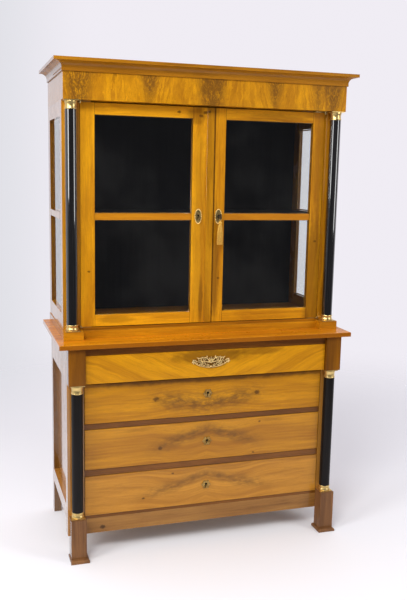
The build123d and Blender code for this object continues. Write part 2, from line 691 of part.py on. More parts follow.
def key() -> Part:
    """Key in the lock: shank, collar, bit that hangs down, and a pierced bow."""
    half, length, height = KEY_BIT
    solid = bar_along_y(LOCK_X, LOCK_Z, (KEY_TIP, KEY_BOW_DEPTH - SHANK_END), KEY_SHANK)
    solid += bar_along_y(LOCK_X, LOCK_Z, *KEY_COLLAR)
    solid += block((LOCK_X - half, LOCK_X + half), (KEY_TIP, KEY_TIP + length),
                   (LOCK_Z - height, LOCK_Z))
    outer, inner, thickness = KEY_BOW
    ring = Cylinder(outer, thickness) - Cylinder(inner, thickness + 2)
    return solid + Pos(LOCK_X, at(KEY_BOW_DEPTH), LOCK_Z) * Rot(0, 90, 0) * ring


def tassel() -> Part:
    """Cord loop through the bow, head and skirt of a silk tassel."""
    low, head = TASSEL_FOOT, TASSEL_HEAD
    skirt = [(14.0, low), (13.4, low + 18), (10.6, head - 10), (7.0, head - 3), (5.0, head)]
    knot = [(8.2, head + 3), (9.0, head + 8), (7.4, head + 13), (3.0, head + 16)]
    solid = turned(skirt + knot, LOCK_X, TASSEL_DEPTH)
    loop_radius, loop_top = TASSEL_LOOP
    return solid + pin(LOCK_X, TASSEL_DEPTH, (head + 15, loop_top), loop_radius)


# ------------------------------------------------------------------ hinges
def hinge_leaf(side: int, z: tuple, eye_z: tuple) -> Part:
    """Flat leaf that runs under or over a door's corner to an eye in front of the door."""
    near, far = LEAF_REACH
    front, arm, back = LEAF_INSET
    leaf = block((HINGE_X - far, HINGE_X - near), (POST_FACE - back, POST_FACE - front), z)
    leaf += block((HINGE_X - LEAF_ARM, HINGE_X), (POST_FACE - arm, HINGE_DEPTH), z)
    leaf += pin(HINGE_X, HINGE_DEPTH, eye_z, HINGE_EYE)
    return mirrored(leaf, side)


def hinge_pivots(side: int) -> list:
    """The two leaves on one door, each with a bored eye."""
    low, high = DOOR_Z
    below, above = low - DOOR_LEAVES[0], high + DOOR_LEAVES[1]
    bottom = hinge_leaf(side, (below, low), (below, low + HINGE_EYE_LENGTH))
    top = hinge_leaf(side, (high, above), (high - HINGE_EYE_LENGTH, above))
    bore = pin(side * HINGE_X, HINGE_DEPTH, (0, HEIGHT), HINGE_PIN + PIN_CLEARANCE)
    return [bottom - bore, top - bore]


def hinge_plates() -> list:
    """Four leaves on the cabinet, each with a fixed pin."""
    plates = []
    ceiling = FRIEZE_Z[0]
    low = (FLOOR_TOP, FLOOR_TOP + CASE_LEAVES[0])
    high = (ceiling - CASE_LEAVES[1], ceiling)
    for side in (-1, 1):
        x = side * HINGE_X
        bottom = hinge_leaf(side, low, low)
        bottom += pin(x, HINGE_DEPTH, (FLOOR_TOP, DOOR_Z[0] + HINGE_PIN_END), HINGE_PIN)
        top = hinge_leaf(side, high, high)
        top += pin(x, HINGE_DEPTH, (DOOR_Z[1] - HINGE_PIN_END, ceiling), HINGE_PIN)
        plates += [bottom, top]
    return plates


# ------------------------------------------------------------------ output
def write(name: str, shape) -> None:
    """Write one node: a single solid or a group of separate solids."""
    if isinstance(shape, list):
        shape = Compound(children=[Part() + piece for piece in shape])
    export_step(shape, f"parts/{name}.step")


def pieces() -> dict:
    """Every node's name and shape."""
    places = column_places()
    nodes = {
        "chest_top": chest_top(),
        "drawer_rails": drawer_rails(),
        "chest_apron": chest_apron(),
        "corner_blocks": corner_blocks(),
        "front_feet": front_feet(),
        "drawer_runners": drawer_runners(),
        "chest_back_panel": chest_back_panel(),
        "frieze_mount": frieze_mount(),
        "column_capitals": [capital(x, depth, head) for x, depth, _, head in places],
        "column_bases": [base(x, depth, foot) for x, depth, foot, _ in places],
        "plinth_frame": plinth_frame(),
        "plinth_blocks": plinth_blocks(),
        "cabinet_floor": cabinet_floor(),
        "side_panes": side_panes(),
        "frieze": frieze(),
        "cornice": cornice(),
        "cabinet_top_board": cabinet_top_board(),
        "cabinet_back_panel": cabinet_back_panel(),
        "shelf": shelf(),
        "shelf_battens": shelf_battens(),
        "door_frame_left": door_frame_left(),
        "door_frame_right": door_frame_right(),
        "door_panes_left": door_panes(LEFT_SIGHT_X),
        "door_panes_right": door_panes(RIGHT_SIGHT_X),
        "meeting_strip": meeting_strip(),
        "door_escutcheon_left": door_escutcheon(LEFT_PLATE_X),
        "door_escutcheon_right": door_escutcheon(LOCK_X),
        "shoot_bolt_top": shoot_bolt(1),
        "shoot_bolt_bottom": shoot_bolt(-1),
        "door_lock": door_lock(),
        "lock_bolt": lock_bolt(),
        "key": key(),
        "tassel": tassel(),
        "hinge_plates": hinge_plates(),
    }
    for side, word in ((-1, "left"), (1, "right")):
        nodes[f"chest_side_frame_{word}"] = chest_side_frame(side)
        nodes[f"chest_side_panel_{word}"] = chest_side_panel(side)
        nodes[f"cabinet_side_frame_{word}"] = cabinet_side_frame(side)
        nodes[f"hinge_pivots_{word}"] = hinge_pivots(side)
    for place, word in zip(places, ("lower_column_left", "lower_column_right",
                                    "upper_column_left", "upper_column_right")):
        nodes[word] = column(place)
    for index in range(len(DRAWER_FACE_Z)):
        nodes[f"drawer_front_{index + 1}"] = drawer_front(index)
        nodes[f"drawer_tray_{index + 1}"] = drawer_tray(index)
        if index > 0:
            nodes[f"keyhole_rosette_{index + 1}"] = keyhole_rosette(index)
            nodes[f"drawer_bolt_{index + 1}"] = drawer_bolt(index)
    return nodes


if __name__ == "__main__":
    os.makedirs("parts", exist_ok=True)
    for node, solid in pieces().items():
        write(node, solid)
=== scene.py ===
"""Glazed cabinet on a chest of drawers: finishes, brass mounts, glazing beads, tassel, light and camera."""

import logging
import math
import random
from dataclasses import dataclass
from enum import Enum

import bpy
from mathutils import Matrix, Vector


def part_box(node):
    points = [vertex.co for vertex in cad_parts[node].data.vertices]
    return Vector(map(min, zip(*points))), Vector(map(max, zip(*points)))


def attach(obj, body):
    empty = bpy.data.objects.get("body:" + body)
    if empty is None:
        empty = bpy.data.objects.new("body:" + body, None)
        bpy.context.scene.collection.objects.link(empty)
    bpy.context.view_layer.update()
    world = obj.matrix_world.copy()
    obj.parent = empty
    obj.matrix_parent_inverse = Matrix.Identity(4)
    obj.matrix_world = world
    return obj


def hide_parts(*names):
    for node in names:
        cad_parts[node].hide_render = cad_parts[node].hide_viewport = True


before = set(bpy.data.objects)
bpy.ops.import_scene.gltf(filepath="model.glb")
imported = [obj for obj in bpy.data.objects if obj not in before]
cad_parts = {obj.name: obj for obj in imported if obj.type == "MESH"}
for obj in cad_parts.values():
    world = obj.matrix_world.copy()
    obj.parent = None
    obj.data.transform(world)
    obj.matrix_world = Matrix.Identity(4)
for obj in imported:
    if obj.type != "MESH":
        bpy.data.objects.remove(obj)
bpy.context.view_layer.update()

logging.basicConfig(level=logging.INFO, format="%(levelname)s %(message)s")
log = logging.getLogger("cabinet")

Colour = tuple[float, float, float]
Point = tuple[float, float, float]
Socket = bpy.types.NodeSocket
Source = Socket | float | tuple
DirtAndShadePatch = tuple[float, float, float, float, float]

MM = 0.001
# Back of the piece, and the half width beyond which a face belongs to its flanks.
BACK_PLANE = 0.301
FLANK_FROM = 0.598
# A numeric part of a normal above this counts as facing that way.
FACING = 0.9


def at(depth: float) -> float:
    """Turn a depth measured from the back of the piece into the frame's own coordinate.

    Args:
        depth: Distance in millimetres forward from the back plane.

    Returns:
        The position along the frame's second axis, in metres.
    """
    return BACK_PLANE - depth * MM


class Grain(Enum):
    """The way the fibres of a board run."""

    ALONG_X = "x"
    ALONG_Y = "y"
    ALONG_Z = "z"


class Figure(Enum):
    """The kind of figure that a show face carries."""

    PLAIN = "plain"
    ARCH = "arch"
    CHEVRON = "chevron"
    PLUME = "plume"


class Graph:
    """Adds nodes to one node tree and joins them."""

    def __init__(self, tree: bpy.types.NodeTree) -> None:
        self.tree = tree

    def node(self, kind: str, **settings) -> bpy.types.Node:
        """Add a node.

        Args:
            kind: The node's type name.
            settings: Properties to set on the node.

        Returns:
            The new node.
        """
        made = self.tree.nodes.new(kind)
        for key, value in settings.items():
            setattr(made, key, value)
        return made

    def feed(self, socket: Socket, value: Source) -> None:
        """Give a socket its value.

        Args:
            socket: The input to fill.
            value: Another node's output, or a constant.
        """
        if isinstance(value, bpy.types.NodeSocket):
            self.tree.links.new(value, socket)
        else:
            socket.default_value = value

    def math(self, operation: str, a: Source, b: Source = 0.0, c: Source = 0.0,
             clamp: bool = False) -> Socket:
        """Join numbers with one operation.

        Args:
            operation: The operation's name.
            a: First number.
            b: Second number.
            c: Third number, where the operation has one.
            clamp: Whether the result stays between 0 and 1.

        Returns:
            The result.
        """
        made = self.node("ShaderNodeMath", operation=operation, use_clamp=clamp)
        for socket, value in zip(made.inputs, (a, b, c)):
            self.feed(socket, value)
        return made.outputs[0]

    def plus(self, a: Source, b: Source, clamp: bool = False) -> Socket:
        """Add two numbers."""
        return self.math("ADD", a, b, clamp=clamp)

    def minus(self, a: Source, b: Source) -> Socket:
        """Take the second number from the first."""
        return self.math("SUBTRACT", a, b)

    def times(self, a: Source, b: Source, clamp: bool = False) -> Socket:
        """Multiply two numbers."""
        return self.math("MULTIPLY", a, b, clamp=clamp)

    def swing(self, value: Source, size: Source) -> Socket:
        """Turn a noise into a wander of that size to both sides of zero."""
        return self.times(self.minus(value, 0.5), size)

    def within(self, value: Source, low: float, high: float) -> Socket:
        """Mark where a number lies between two others."""
        return self.times(self.math("GREATER_THAN", value, low), self.math("LESS_THAN", value, high))

    def facing(self, axis: int) -> Socket:
        """Read how far the surface faces along one axis."""
        return self.split(self.node("ShaderNodeNewGeometry").outputs["True Normal"])[axis]

    def far(self, a: Source, b: Source) -> Socket:
        """Measure how far two offsets lead together."""
        return self.math("SQRT", self.plus(self.times(a, a), self.times(b, b)))

    def vector(self, operation: str, a: Source, b: Source = (0.0, 0.0, 0.0)) -> Socket:
        """Join vectors with one operation.

        Args:
            operation: The operation's name.
            a: First vector.
            b: Second vector.

        Returns:
            The resulting vector.
        """
        made = self.node("ShaderNodeVectorMath", operation=operation)
        self.feed(made.inputs[0], a)
        self.feed(made.inputs[1], b)
        return made.outputs["Vector"]

    def split(self, vector: Source) -> tuple[Socket, Socket, Socket]:
        """Take a vector apart.

        Args:
            vector: The vector.

        Returns:
            Its three numbers.
        """
        made = self.node("ShaderNodeSeparateXYZ")
        self.feed(made.inputs[0], vector)
        return made.outputs[0], made.outputs[1], made.outputs[2]

    def combine(self, x: Source, y: Source, z: Source) -> Socket:
        """Put a vector together.

        Args:
            x: First number.
            y: Second number.
            z: Third number.

        Returns:
            The vector.
        """
        made = self.node("ShaderNodeCombineXYZ")
        for socket, value in zip(made.inputs, (x, y, z)):
            self.feed(socket, value)
        return made.outputs[0]

    def noise(self, vector: Source, scale: float, detail: float = 3.0, roughness: float = 0.5,
              distortion: float = 0.0) -> Socket:
        """Sample a noise.

        Args:
            vector: Where it is read.
            scale: Its frequency.
            detail: Number of octaves.
            roughness: Weight of the finer octaves.
            distortion: How far it folds into itself.

        Returns:
            The noise, between 0 and 1.
        """
        made = self.node("ShaderNodeTexNoise")
        for key, value in (("Vector", vector), ("Scale", scale), ("Detail", detail),
                           ("Roughness", roughness), ("Distortion", distortion)):
            self.feed(made.inputs[key], value)
        return made.outputs[0]

    def rise(self, value: Source, low: float, high: float, to_low: float = 0.0,
             to_high: float = 1.0) -> Socket:
        """Map a number smoothly from one range to another.

        Args:
            value: The number.
            low: Where the change starts.
            high: Where it ends.
            to_low: Result at low.
            to_high: Result at high.

        Returns:
            The mapped number.
        """
        made = self.node("ShaderNodeMapRange", interpolation_type="SMOOTHSTEP")
        for socket, given in zip(made.inputs, (value, low, high, to_low, to_high)):
            self.feed(socket, given)
        return made.outputs[0]

    def blend(self, factor: Source, a: Source, b: Source, mode: str = "MIX") -> Socket:
        """Mix two colours.

        Args:
            factor: Share of the second.
            a: First colour.
            b: Second colour.
            mode: How they mix.

        Returns:
            The mixed colour.
        """
        made = self.node("ShaderNodeMix", data_type="RGBA", blend_type=mode)
        self.feed(made.inputs[0], factor)
        self.feed(made.inputs[6], rgba(a))
        self.feed(made.inputs[7], rgba(b))
        return made.outputs[2]

    def choose(self, factor: Source, a: Source, b: Source) -> Socket:
        """Mix two vectors.

        Args:
            factor: Share of the second.
            a: First vector.
            b: Second vector.

        Returns:
            The mixed vector.
        """
        made = self.node("ShaderNodeMix", data_type="VECTOR")
        self.feed(made.inputs[0], factor)
        self.feed(made.inputs[4], a)
        self.feed(made.inputs[5], b)
        return made.outputs[1]

    def ramp(self, value: Source, *stops: tuple[float, Colour]) -> Socket:
        """Turn a number into a colour.

        Args:
            value: The number, between 0 and 1.
            stops: Positions and their colours, in rising order.

        Returns:
            The colour.
        """
        made = self.node("ShaderNodeValToRGB")
        marks = made.color_ramp.elements
        while len(marks) < len(stops):
            marks.new(1.0)
        for mark, (position, colour) in zip(marks, stops):
            mark.position = position
            mark.color = rgba(colour)
        self.feed(made.inputs[0], value)
        return made.outputs[0]


def rgba(colour: Source) -> Source:
    """Give a plain colour its fourth number.

    Args:
        colour: A colour of three numbers, or a socket.

    Returns:
        The colour with four numbers, or the socket unchanged.
    """
    if isinstance(colour, bpy.types.NodeSocket):
        return colour
    return (*colour, 1.0) if len(colour) == 3 else colour


def toned(colour: Colour, share: float, lift: float = 0.0) -> Colour:
    """Scale a colour and lift it a little, up to white."""
    return tuple(min(1.0, part * share + lift) for part in colour)


class SharedGroups:
    """The node groups that several finishes share."""

    @staticmethod
    def start(name: str, inputs: dict[str, str], outputs: dict[str, str]) -> tuple[Graph, dict, dict]:
        """Open a new group.

        Args:
            name: The group's name.
            inputs: Names of the inputs and their socket types.
            outputs: Names of the outputs and their socket types.

        Returns:
            The graph of the group, its inputs by name and its outputs by name.
        """
        tree = bpy.data.node_groups.new(name, "ShaderNodeTree")
        for key, kind in inputs.items():
            tree.interface.new_socket(key, in_out="INPUT", socket_type=kind)
        for key, kind in outputs.items():
            tree.interface.new_socket(key, in_out="OUTPUT", socket_type=kind)
        graph = Graph(tree)
        entry = graph.node("NodeGroupInput")
        close = graph.node("NodeGroupOutput")
        return graph, {s.name: s for s in entry.outputs}, {s.name: s for s in close.inputs}

    @classmethod
    def grain(cls) -> bpy.types.NodeTree:
        """Board grain in a space whose first axis follows the fibres.

        Returns:
            The group, which gives Tone, Fibre and Pores, all between 0 and 1.
        """
        known = bpy.data.node_groups.get("board_grain")
        if known:
            return known
        graph, given, out = cls.start(
            "board_grain",
            {"Vector": "NodeSocketVector", "Warp": "NodeSocketFloat", "Streak": "NodeSocketFloat"},
            {"Tone": "NodeSocketFloat", "Fibre": "NodeSocketFloat", "Pores": "NodeSocketFloat"},
        )
        place = given["Vector"]
        slow = graph.vector("MULTIPLY", place, (1.6, 5.0, 5.0))
        drift = graph.times(graph.minus(graph.noise(slow, 1.0, 2.0), 0.5), given["Warp"])
        x, y, z = graph.split(place)
        bent = graph.combine(x, graph.plus(y, drift), graph.plus(z, drift))
        bands = graph.noise(graph.vector("MULTIPLY", bent, (0.9, 20.0, 20.0)), 1.0, 3.0, 0.55)
        streaks = graph.noise(graph.vector("MULTIPLY", bent, (2.6, 95.0, 95.0)), 1.0, 3.0, 0.6)
        fibre = graph.noise(graph.vector("MULTIPLY", bent, (14.0, 640.0, 640.0)), 1.0, 2.0, 0.6)
        weight = given["Streak"]
        tone = graph.plus(graph.times(bands, graph.minus(1.0, weight)),
                          graph.times(streaks, weight))
        pores = graph.noise(graph.vector("MULTIPLY", bent, (55.0, 1300.0, 1300.0)), 1.0, 0.0)
        graph.feed(out["Tone"], graph.rise(tone, 0.3, 0.7))
        graph.feed(out["Fibre"], fibre)
        graph.feed(out["Pores"], graph.rise(pores, 0.66, 0.78))
        return graph.tree

    @classmethod
    def edges(cls) -> bpy.types.NodeTree:
        """Softened edges and the wear along them.

        Returns:
            The group, which gives the rounded Normal and the Wear mask.
        """
        known = bpy.data.node_groups.get("edge_wear")
        if known:
            return known
        graph, given, out = cls.start(
            "edge_wear",
            {"Radius": "NodeSocketFloat"},
            {"Normal": "NodeSocketVector", "Wear": "NodeSocketFloat"},
        )
        rounded = graph.node("ShaderNodeBevel", samples=4)
        graph.feed(rounded.inputs["Radius"], given["Radius"])
        flat = graph.node("ShaderNodeNewGeometry")
        made = graph.node("ShaderNodeVectorMath", operation="DOT_PRODUCT")
        graph.feed(made.inputs[0], rounded.outputs[0])
        graph.feed(made.inputs[1], flat.outputs["True Normal"])
        turned = graph.minus(1.0, made.outputs["Value"])
        place = graph.node("ShaderNodeTexCoord").outputs["Object"]
        patches = graph.rise(graph.noise(place, 38.0, 4.0, 0.65), 0.42, 0.62)
        graph.feed(out["Normal"], rounded.outputs[0])
        graph.feed(out["Wear"], graph.times(graph.rise(turned, 0.01, 0.16), patches, clamp=True))
        return graph.tree

    @classmethod
    def grime(cls) -> bpy.types.NodeTree:
        """Uneven polish, fine scratches and soft dirt.

        Returns:
            The group, which gives Polish and Dirt masks and a Height.
        """
        known = bpy.data.node_groups.get("age_marks")
        if known:
            return known
        graph, given, out = cls.start(
            "age_marks",
            {"Vector": "NodeSocketVector"},
            {"Polish": "NodeSocketFloat", "Dirt": "NodeSocketFloat", "Height": "NodeSocketFloat"},
        )
        place = given["Vector"]
        graph.feed(out["Polish"], graph.noise(place, 7.0, 4.0, 0.6))
        graph.feed(out["Dirt"], graph.rise(graph.noise(place, 3.1, 5.0, 0.62), 0.52, 0.8))
        scratch = graph.noise(graph.vector("MULTIPLY", place, (9.0, 420.0, 260.0)), 1.0, 1.0)
        graph.feed(out["Height"], graph.plus(graph.noise(place, 24.0, 2.0),
                                             graph.times(scratch, 0.1)))
        return graph.tree


class Finish:
    """A material built from nodes, made once and then shared."""

    name: str

    def material(self) -> bpy.types.Material:
        """Find or make the material.

        Returns:
            The material.
        """
        known = bpy.data.materials.get(self.name)
        if known:
            return known
        made = bpy.data.materials.new(self.name)
        made.use_nodes = True
        made.node_tree.nodes.clear()
        graph = Graph(made.node_tree)
        shader = graph.node("ShaderNodeBsdfPrincipled")
        output = graph.node("ShaderNodeOutputMaterial")
        graph.feed(output.inputs["Surface"], shader.outputs[0])
        self.build(graph, shader)
        return made

    def build(self, graph: Graph, shader: bpy.types.Node) -> None:
        """Fill the shader's sockets.

        Args:
            graph: The material's graph.
            shader: Its Principled node.
        """
        raise NotImplementedError

    def relief(self, graph: Graph, shader: bpy.types.Node, strength: float, distance: float, height: Source,
               normal: Source | None = None) -> None:
        """Give the surface its fine relief.

        Args:
            graph: The material's graph.
            shader: Its Principled node.
            strength: How strongly it shows.
            distance: Its height in metres.
            height: The pattern.
            normal: The normal it starts from, or None for the face's own.
        """
        bump = graph.node("ShaderNodeBump")
        graph.feed(bump.inputs["Strength"], strength)
        graph.feed(bump.inputs["Distance"], distance)
        graph.feed(bump.inputs["Height"], height)
        if normal is not None:
            graph.feed(bump.inputs["Normal"], normal)
        graph.feed(shader.inputs["Normal"], bump.outputs[0])

    def dress(self, *names: str) -> None:
        """Put the finish on CAD nodes.

        Args:
            names: The nodes' names.
        """
        for name in names:
            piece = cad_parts[name]
            piece.data.materials.clear()
            piece.data.materials.append(self.material())


def object_place(graph: Graph) -> Socket:
    """Read the place on the object.

    Args:
        graph: The material's graph.

    Returns:
        The object coordinates.
    """
    return graph.node("ShaderNodeTexCoord").outputs["Object"]


def group_node(graph: Graph, tree: bpy.types.NodeTree, **values: Source) -> dict[str, Socket]:
    """Use a shared group.

    Args:
        graph: The material's graph.
        tree: The group.
        values: What its inputs get.

    Returns:
        Its outputs by name.
    """
    made = graph.node("ShaderNodeGroup", node_tree=tree)
    for key, value in values.items():
        graph.feed(made.inputs[key], value)
    return {s.name: s for s in made.outputs}


@dataclass(frozen=True)
class Wood(Finish):
    """Polished wood or veneer.

    Attributes:
        name: The material's name.
        pale: Colour of the light bands.
        deep: Colour of the dark bands.
        grain: The way the fibres run.
        cross: Where a framed piece's rails lie along its own axis, low and high, or None.
        cross_grain: The way the fibres of those rails run.
        cross_axis: Axis along which the rails' range is given.
        figure: The figure on the show face.
        figure_depth: How dark the figure is.
        centre: Height of the figure's top, or of the face's middle.
        reach: How far the figure spreads to each side.
        fall: How steeply an arch falls from the middle.
        thick: Half thickness of an arch.
        plumes: Place, half width at the foot and growth upward of each plume.
        gloss: Roughness of the wood under its polish.
        polish: Weight of the polish coat.
        warp: How far the grain wanders.
        streak: Share of the narrow streaks in the grain.
        shift: Offset that gives each board its own grain.
        knots: Places across and up the face, with each knot's radius.
        worn_edge: How strongly worn edges show.
        blotch: How strongly the broad dark clouds show.
        dirt_and_shade_patches: Darker places, each by place across and up, half width, half height and strength.
        front_shade: How much darker the faces towards the front are.
        bars: Low and high edge of a glazing bar that has its own redder colour.
        bar_red: That colour.
    """

    name: str
    pale: Colour
    deep: Colour
    grain: Grain = Grain.ALONG_X
    cross: tuple[float, float] | None = None
    cross_grain: Grain = Grain.ALONG_X
    cross_axis: int = 0
    figure: Figure = Figure.PLAIN
    figure_depth: float = 0.6
    centre: float = 0.0
    reach: float = 0.25
    fall: float = 0.3
    thick: float = 0.03
    plumes: tuple[tuple[float, float, float], ...] = ()
    gloss: float = 0.42
    polish: float = 0.22
    warp: float = 0.05
    streak: float = 0.4
    shift: float = 0.0
    knots: tuple[Point, ...] = ()
    worn_edge: float = 0.35
    blotch: float = 0.45
    dirt_and_shade_patches: tuple[DirtAndShadePatch, ...] = ()
    front_shade: float = 0.0
    bars: tuple[float, float] | None = None
    bar_red: Colour = (0.42, 0.13, 0.008)

    def dirt_and_shade_mask(self, graph: Graph, place: Socket, dark_patch: DirtAndShadePatch) -> Socket:
        """Mark a darker patch; the patches hold dirt, deeper figure, and painted shadow under overhangs and
        beside proud strips.

        Args:
            graph: The material's graph.
            place: The place on the object.
            dark_patch: Its place across and up, half width, half height and strength.

        Returns:
            How strong the dirt is.
        """
        x, _, z = graph.split(place)
        across, up, half_width, half_height, strength = dark_patch
        outer, inner = 1.1, 0.5
        raggedness = 0.6
        dx = graph.math("DIVIDE", graph.minus(x, across), half_width)
        dz = graph.math("DIVIDE", graph.minus(z, up), half_height)
        ragged = graph.swing(graph.noise(place, 26.0, 4.0, 0.6), raggedness)
        return graph.times(graph.rise(graph.plus(graph.far(dx, dz), ragged), outer, inner), strength)

    def turned(self, graph: Graph, place: Socket, grain: Grain) -> Socket:
        """Turn the place so that the first axis follows the fibres.

        Args:
            graph: The material's graph.
            place: The place on the object.
            grain: The way the fibres run.

        Returns:
            The turned place.
        """
        x, y, z = graph.split(place)
        order = {Grain.ALONG_X: (x, y, z), Grain.ALONG_Y: (y, x, z), Grain.ALONG_Z: (z, y, x)}[grain]
        return graph.combine(*order)

    def fibres(self, graph: Graph, place: Socket) -> tuple[Socket, Source]:
        """Find the grain space of each board of the piece.

        Args:
            graph: The material's graph.
            place: The place on the object.

        Returns:
            The grain space, and a mask of the thin dark lines where the boards meet.
        """
        moved = graph.vector("ADD", self.turned(graph, place, self.grain), (self.shift,) * 3)
        if self.cross is None:
            return moved, 0.0
        low, high = self.cross
        line = graph.split(place)[self.cross_axis]
        inside = graph.within(line, low, high)
        other = graph.vector("ADD", self.turned(graph, place, self.cross_grain),
                             (self.shift + 3.0, self.shift + 1.3, self.shift + 2.1))
        seam_half = 0.7 * MM
        ends = [graph.math("LESS_THAN", graph.math("ABSOLUTE", graph.minus(line, end)), seam_half)
                for end in (low, high)]
        seams = graph.plus(*ends, clamp=True)
        return graph.choose(inside, moved, other), seams

    def figured(self, graph: Graph, place: Socket) -> tuple[Socket, Socket]:
        """Lay the veneer's figure out, matched like a book about the middle.

        Args:
            graph: The material's graph.
            place: The place on the object.

        Returns:
            The grain space that bends round the figure, and how dark the figure is.
        """
        wander = 0.03
        wobble = graph.swing(graph.noise(place, 9.0, 3.0), wander)
        lay = {Figure.PLUME: self.plume, Figure.CHEVRON: self.chevron, Figure.ARCH: self.arch}[self.figure]
        space, dark = lay(graph, place, wobble)
        return space, graph.times(dark, self.figure_depth)

    def plume(self, graph: Graph, place: Socket, wobble: Socket) -> tuple[Socket, Socket]:
        """Spread the plumes that grow upward.

        Args:
            graph: The material's graph.
            place: The place on the object.
            wobble: A small wander of the figure's edges.

        Returns:
            The grain space that bends round the plumes, and their mask.
        """
        x, y, z = graph.split(place)
        up = graph.minus(z, self.centre)
        fade_out, fade_in = -0.035, 0.02
        far, near = 0.14, 0.02
        lean_rate = -0.22
        ripple_size = 0.035
        total, lean = 0.0, 0.0
        for middle, foot, growth in self.plumes:
            side = graph.plus(graph.minus(x, middle), graph.times(wobble, 0.8))
            away = graph.math("ABSOLUTE", side)
            inside = graph.minus(graph.math("MULTIPLY_ADD", up, growth, foot), away)
            total = graph.math("MAXIMUM", total, graph.rise(inside, fade_out, fade_in))
            pull = graph.times(graph.rise(away, far, near), graph.times(up, lean_rate))
            lean = graph.plus(lean, graph.times(graph.math("SIGN", side), pull))
        coarse = graph.combine(graph.times(x, 3.0), y, z)
        ripple = graph.swing(graph.noise(coarse, 30.0, 3.0, 0.6), ripple_size)
        leaning = graph.plus(x, lean)
        space = graph.combine(graph.times(z, 2.2), y, graph.plus(leaning, ripple))
        speckle = graph.combine(graph.times(leaning, 110.0), 0.0, graph.times(z, 48.0))
        mottle = graph.noise(speckle, 1.0, 5.0, 0.7, 1.4)
        return space, graph.times(total, graph.rise(mottle, 0.3, 0.56))

    def chevron(self, graph: Graph, place: Socket, wobble: Socket) -> tuple[Socket, Socket]:
        """Let the grain meet in the middle like a chevron.

        Args:
            graph: The material's graph.
            place: The place on the object.
            wobble: A small wander of the figure's edges.

        Returns:
            The slanting grain space, and the mask of the dark fan.
        """
        x, y, z = graph.split(place)
        slope = 0.42
        across = graph.math("ABSOLUTE", x)
        level = graph.plus(graph.minus(z, self.centre), graph.times(across, -slope))
        space = graph.combine(across, y, graph.plus(graph.times(level, 0.85), wobble))
        cloud = graph.combine(graph.times(across, 22.0), 0.0, graph.times(level, 60.0))
        veil = graph.noise(cloud, 1.0, 4.0, 0.6, 0.3)
        fan = graph.rise(graph.plus(level, wobble), -0.1, 0.02)
        inward = graph.minus(1.0, graph.rise(across, 0.0, self.reach))
        return space, graph.times(graph.times(fan, inward), graph.rise(veil, 0.3, 0.7))

    def arch(self, graph: Graph, place: Socket, wobble: Socket) -> tuple[Socket, Socket]:
        """Arch a dark band over the middle.

        Args:
            graph: The material's graph.
            place: The place on the object.
            wobble: A small wander of the figure's edges.

        Returns:
            The grain space that follows the arch, and the mask of the band.
        """
        x, y, z = graph.split(place)
        across = graph.math("ABSOLUTE", x)
        inward = graph.minus(1.0, graph.rise(across, 0.0, self.reach))
        arc = graph.minus(self.centre, graph.times(across, self.fall))
        level = graph.plus(graph.minus(z, arc), wobble)
        follow = graph.times(inward, graph.times(across, self.fall * 1.1))
        space = graph.combine(across, y, graph.plus(z, follow))
        mirrored = graph.combine(graph.times(across, 26.0), 0.0, graph.times(level, 60.0))
        own = graph.combine(graph.times(x, 30.0), 4.0, graph.times(z, 85.0))
        matched_share = 0.55
        cloud = graph.plus(graph.times(graph.noise(mirrored, 1.0, 5.0, 0.62, 0.5), matched_share),
                           graph.times(graph.noise(own, 1.0, 5.0, 0.65, 0.7), 1.0 - matched_share))
        band = graph.minus(1.0, graph.rise(graph.math("ABSOLUTE", level), 0.0, self.thick * 1.7))
        ends = graph.minus(1.0, graph.rise(across, self.reach * 0.55, self.reach * 1.2))
        return space, graph.times(graph.times(band, ends), graph.rise(cloud, 0.3, 0.62))

    def knotted(self, graph: Graph, place: Socket) -> Socket | None:
        """Mark the knots.

        Args:
            graph: The material's graph.
            place: The place on the object.

        Returns:
            A mask of the knots, or None if the board has none.
        """
        x, _, z = graph.split(place)
        width_share = 0.75
        core = 0.35
        total = None
        for across, up, radius in self.knots:
            away = graph.far(graph.times(graph.minus(x, across), width_share), graph.minus(z, up))
            ragged = graph.plus(away, graph.swing(graph.noise(place, 140.0, 2.0), radius))
            spot = graph.minus(1.0, graph.rise(ragged, radius * core, radius))
            total = spot if total is None else graph.math("MAXIMUM", total, spot)
        return total

    def build(self, graph: Graph, shader: bpy.types.Node) -> None:
        """Fill the shader's sockets.

        Args:
            graph: The material's graph.
            shader: Its Principled node.
        """
        place = object_place(graph)
        space, seams = self.fibres(graph, place)
        dark = None
        if self.figure is not Figure.PLAIN:
            space, dark = self.figured(graph, place)
        grain = group_node(graph, SharedGroups.grain(), Vector=space, Warp=self.warp, Streak=self.streak)
        marks = group_node(graph, SharedGroups.grime(), Vector=space)
        wear = group_node(graph, SharedGroups.edges(), Radius=1.6 * MM)
        middle = tuple((a + b) / 2 for a, b in zip(self.pale, self.deep))
        colour = graph.ramp(grain["Tone"], (0.0, self.deep), (0.35, middle), (0.8, self.pale))
        shade = toned(self.deep, 0.62)
        colour = graph.blend(graph.times(graph.rise(grain["Fibre"], 0.5, 0.75), 0.3), colour, shade)
        colour = graph.blend(graph.times(grain["Pores"], 0.35), colour, shade)
        colour = graph.blend(graph.times(marks["Dirt"], 0.28), colour, self.deep)
        stretched = graph.vector("MULTIPLY", space, (2.2, 9.0, 9.0))
        blotch = graph.rise(graph.noise(stretched, 1.0, 4.0, 0.6, 0.4), 0.36, 0.68)
        long_marks = graph.vector("MULTIPLY", space, (3.4, 42.0, 42.0))
        stain = graph.rise(graph.noise(long_marks, 1.0, 5.0, 0.68, 0.6), 0.52, 0.74)
        colour = graph.blend(graph.times(stain, self.blotch * 1.1), colour, shade)
        colour = graph.blend(graph.times(blotch, self.blotch), colour, self.deep)
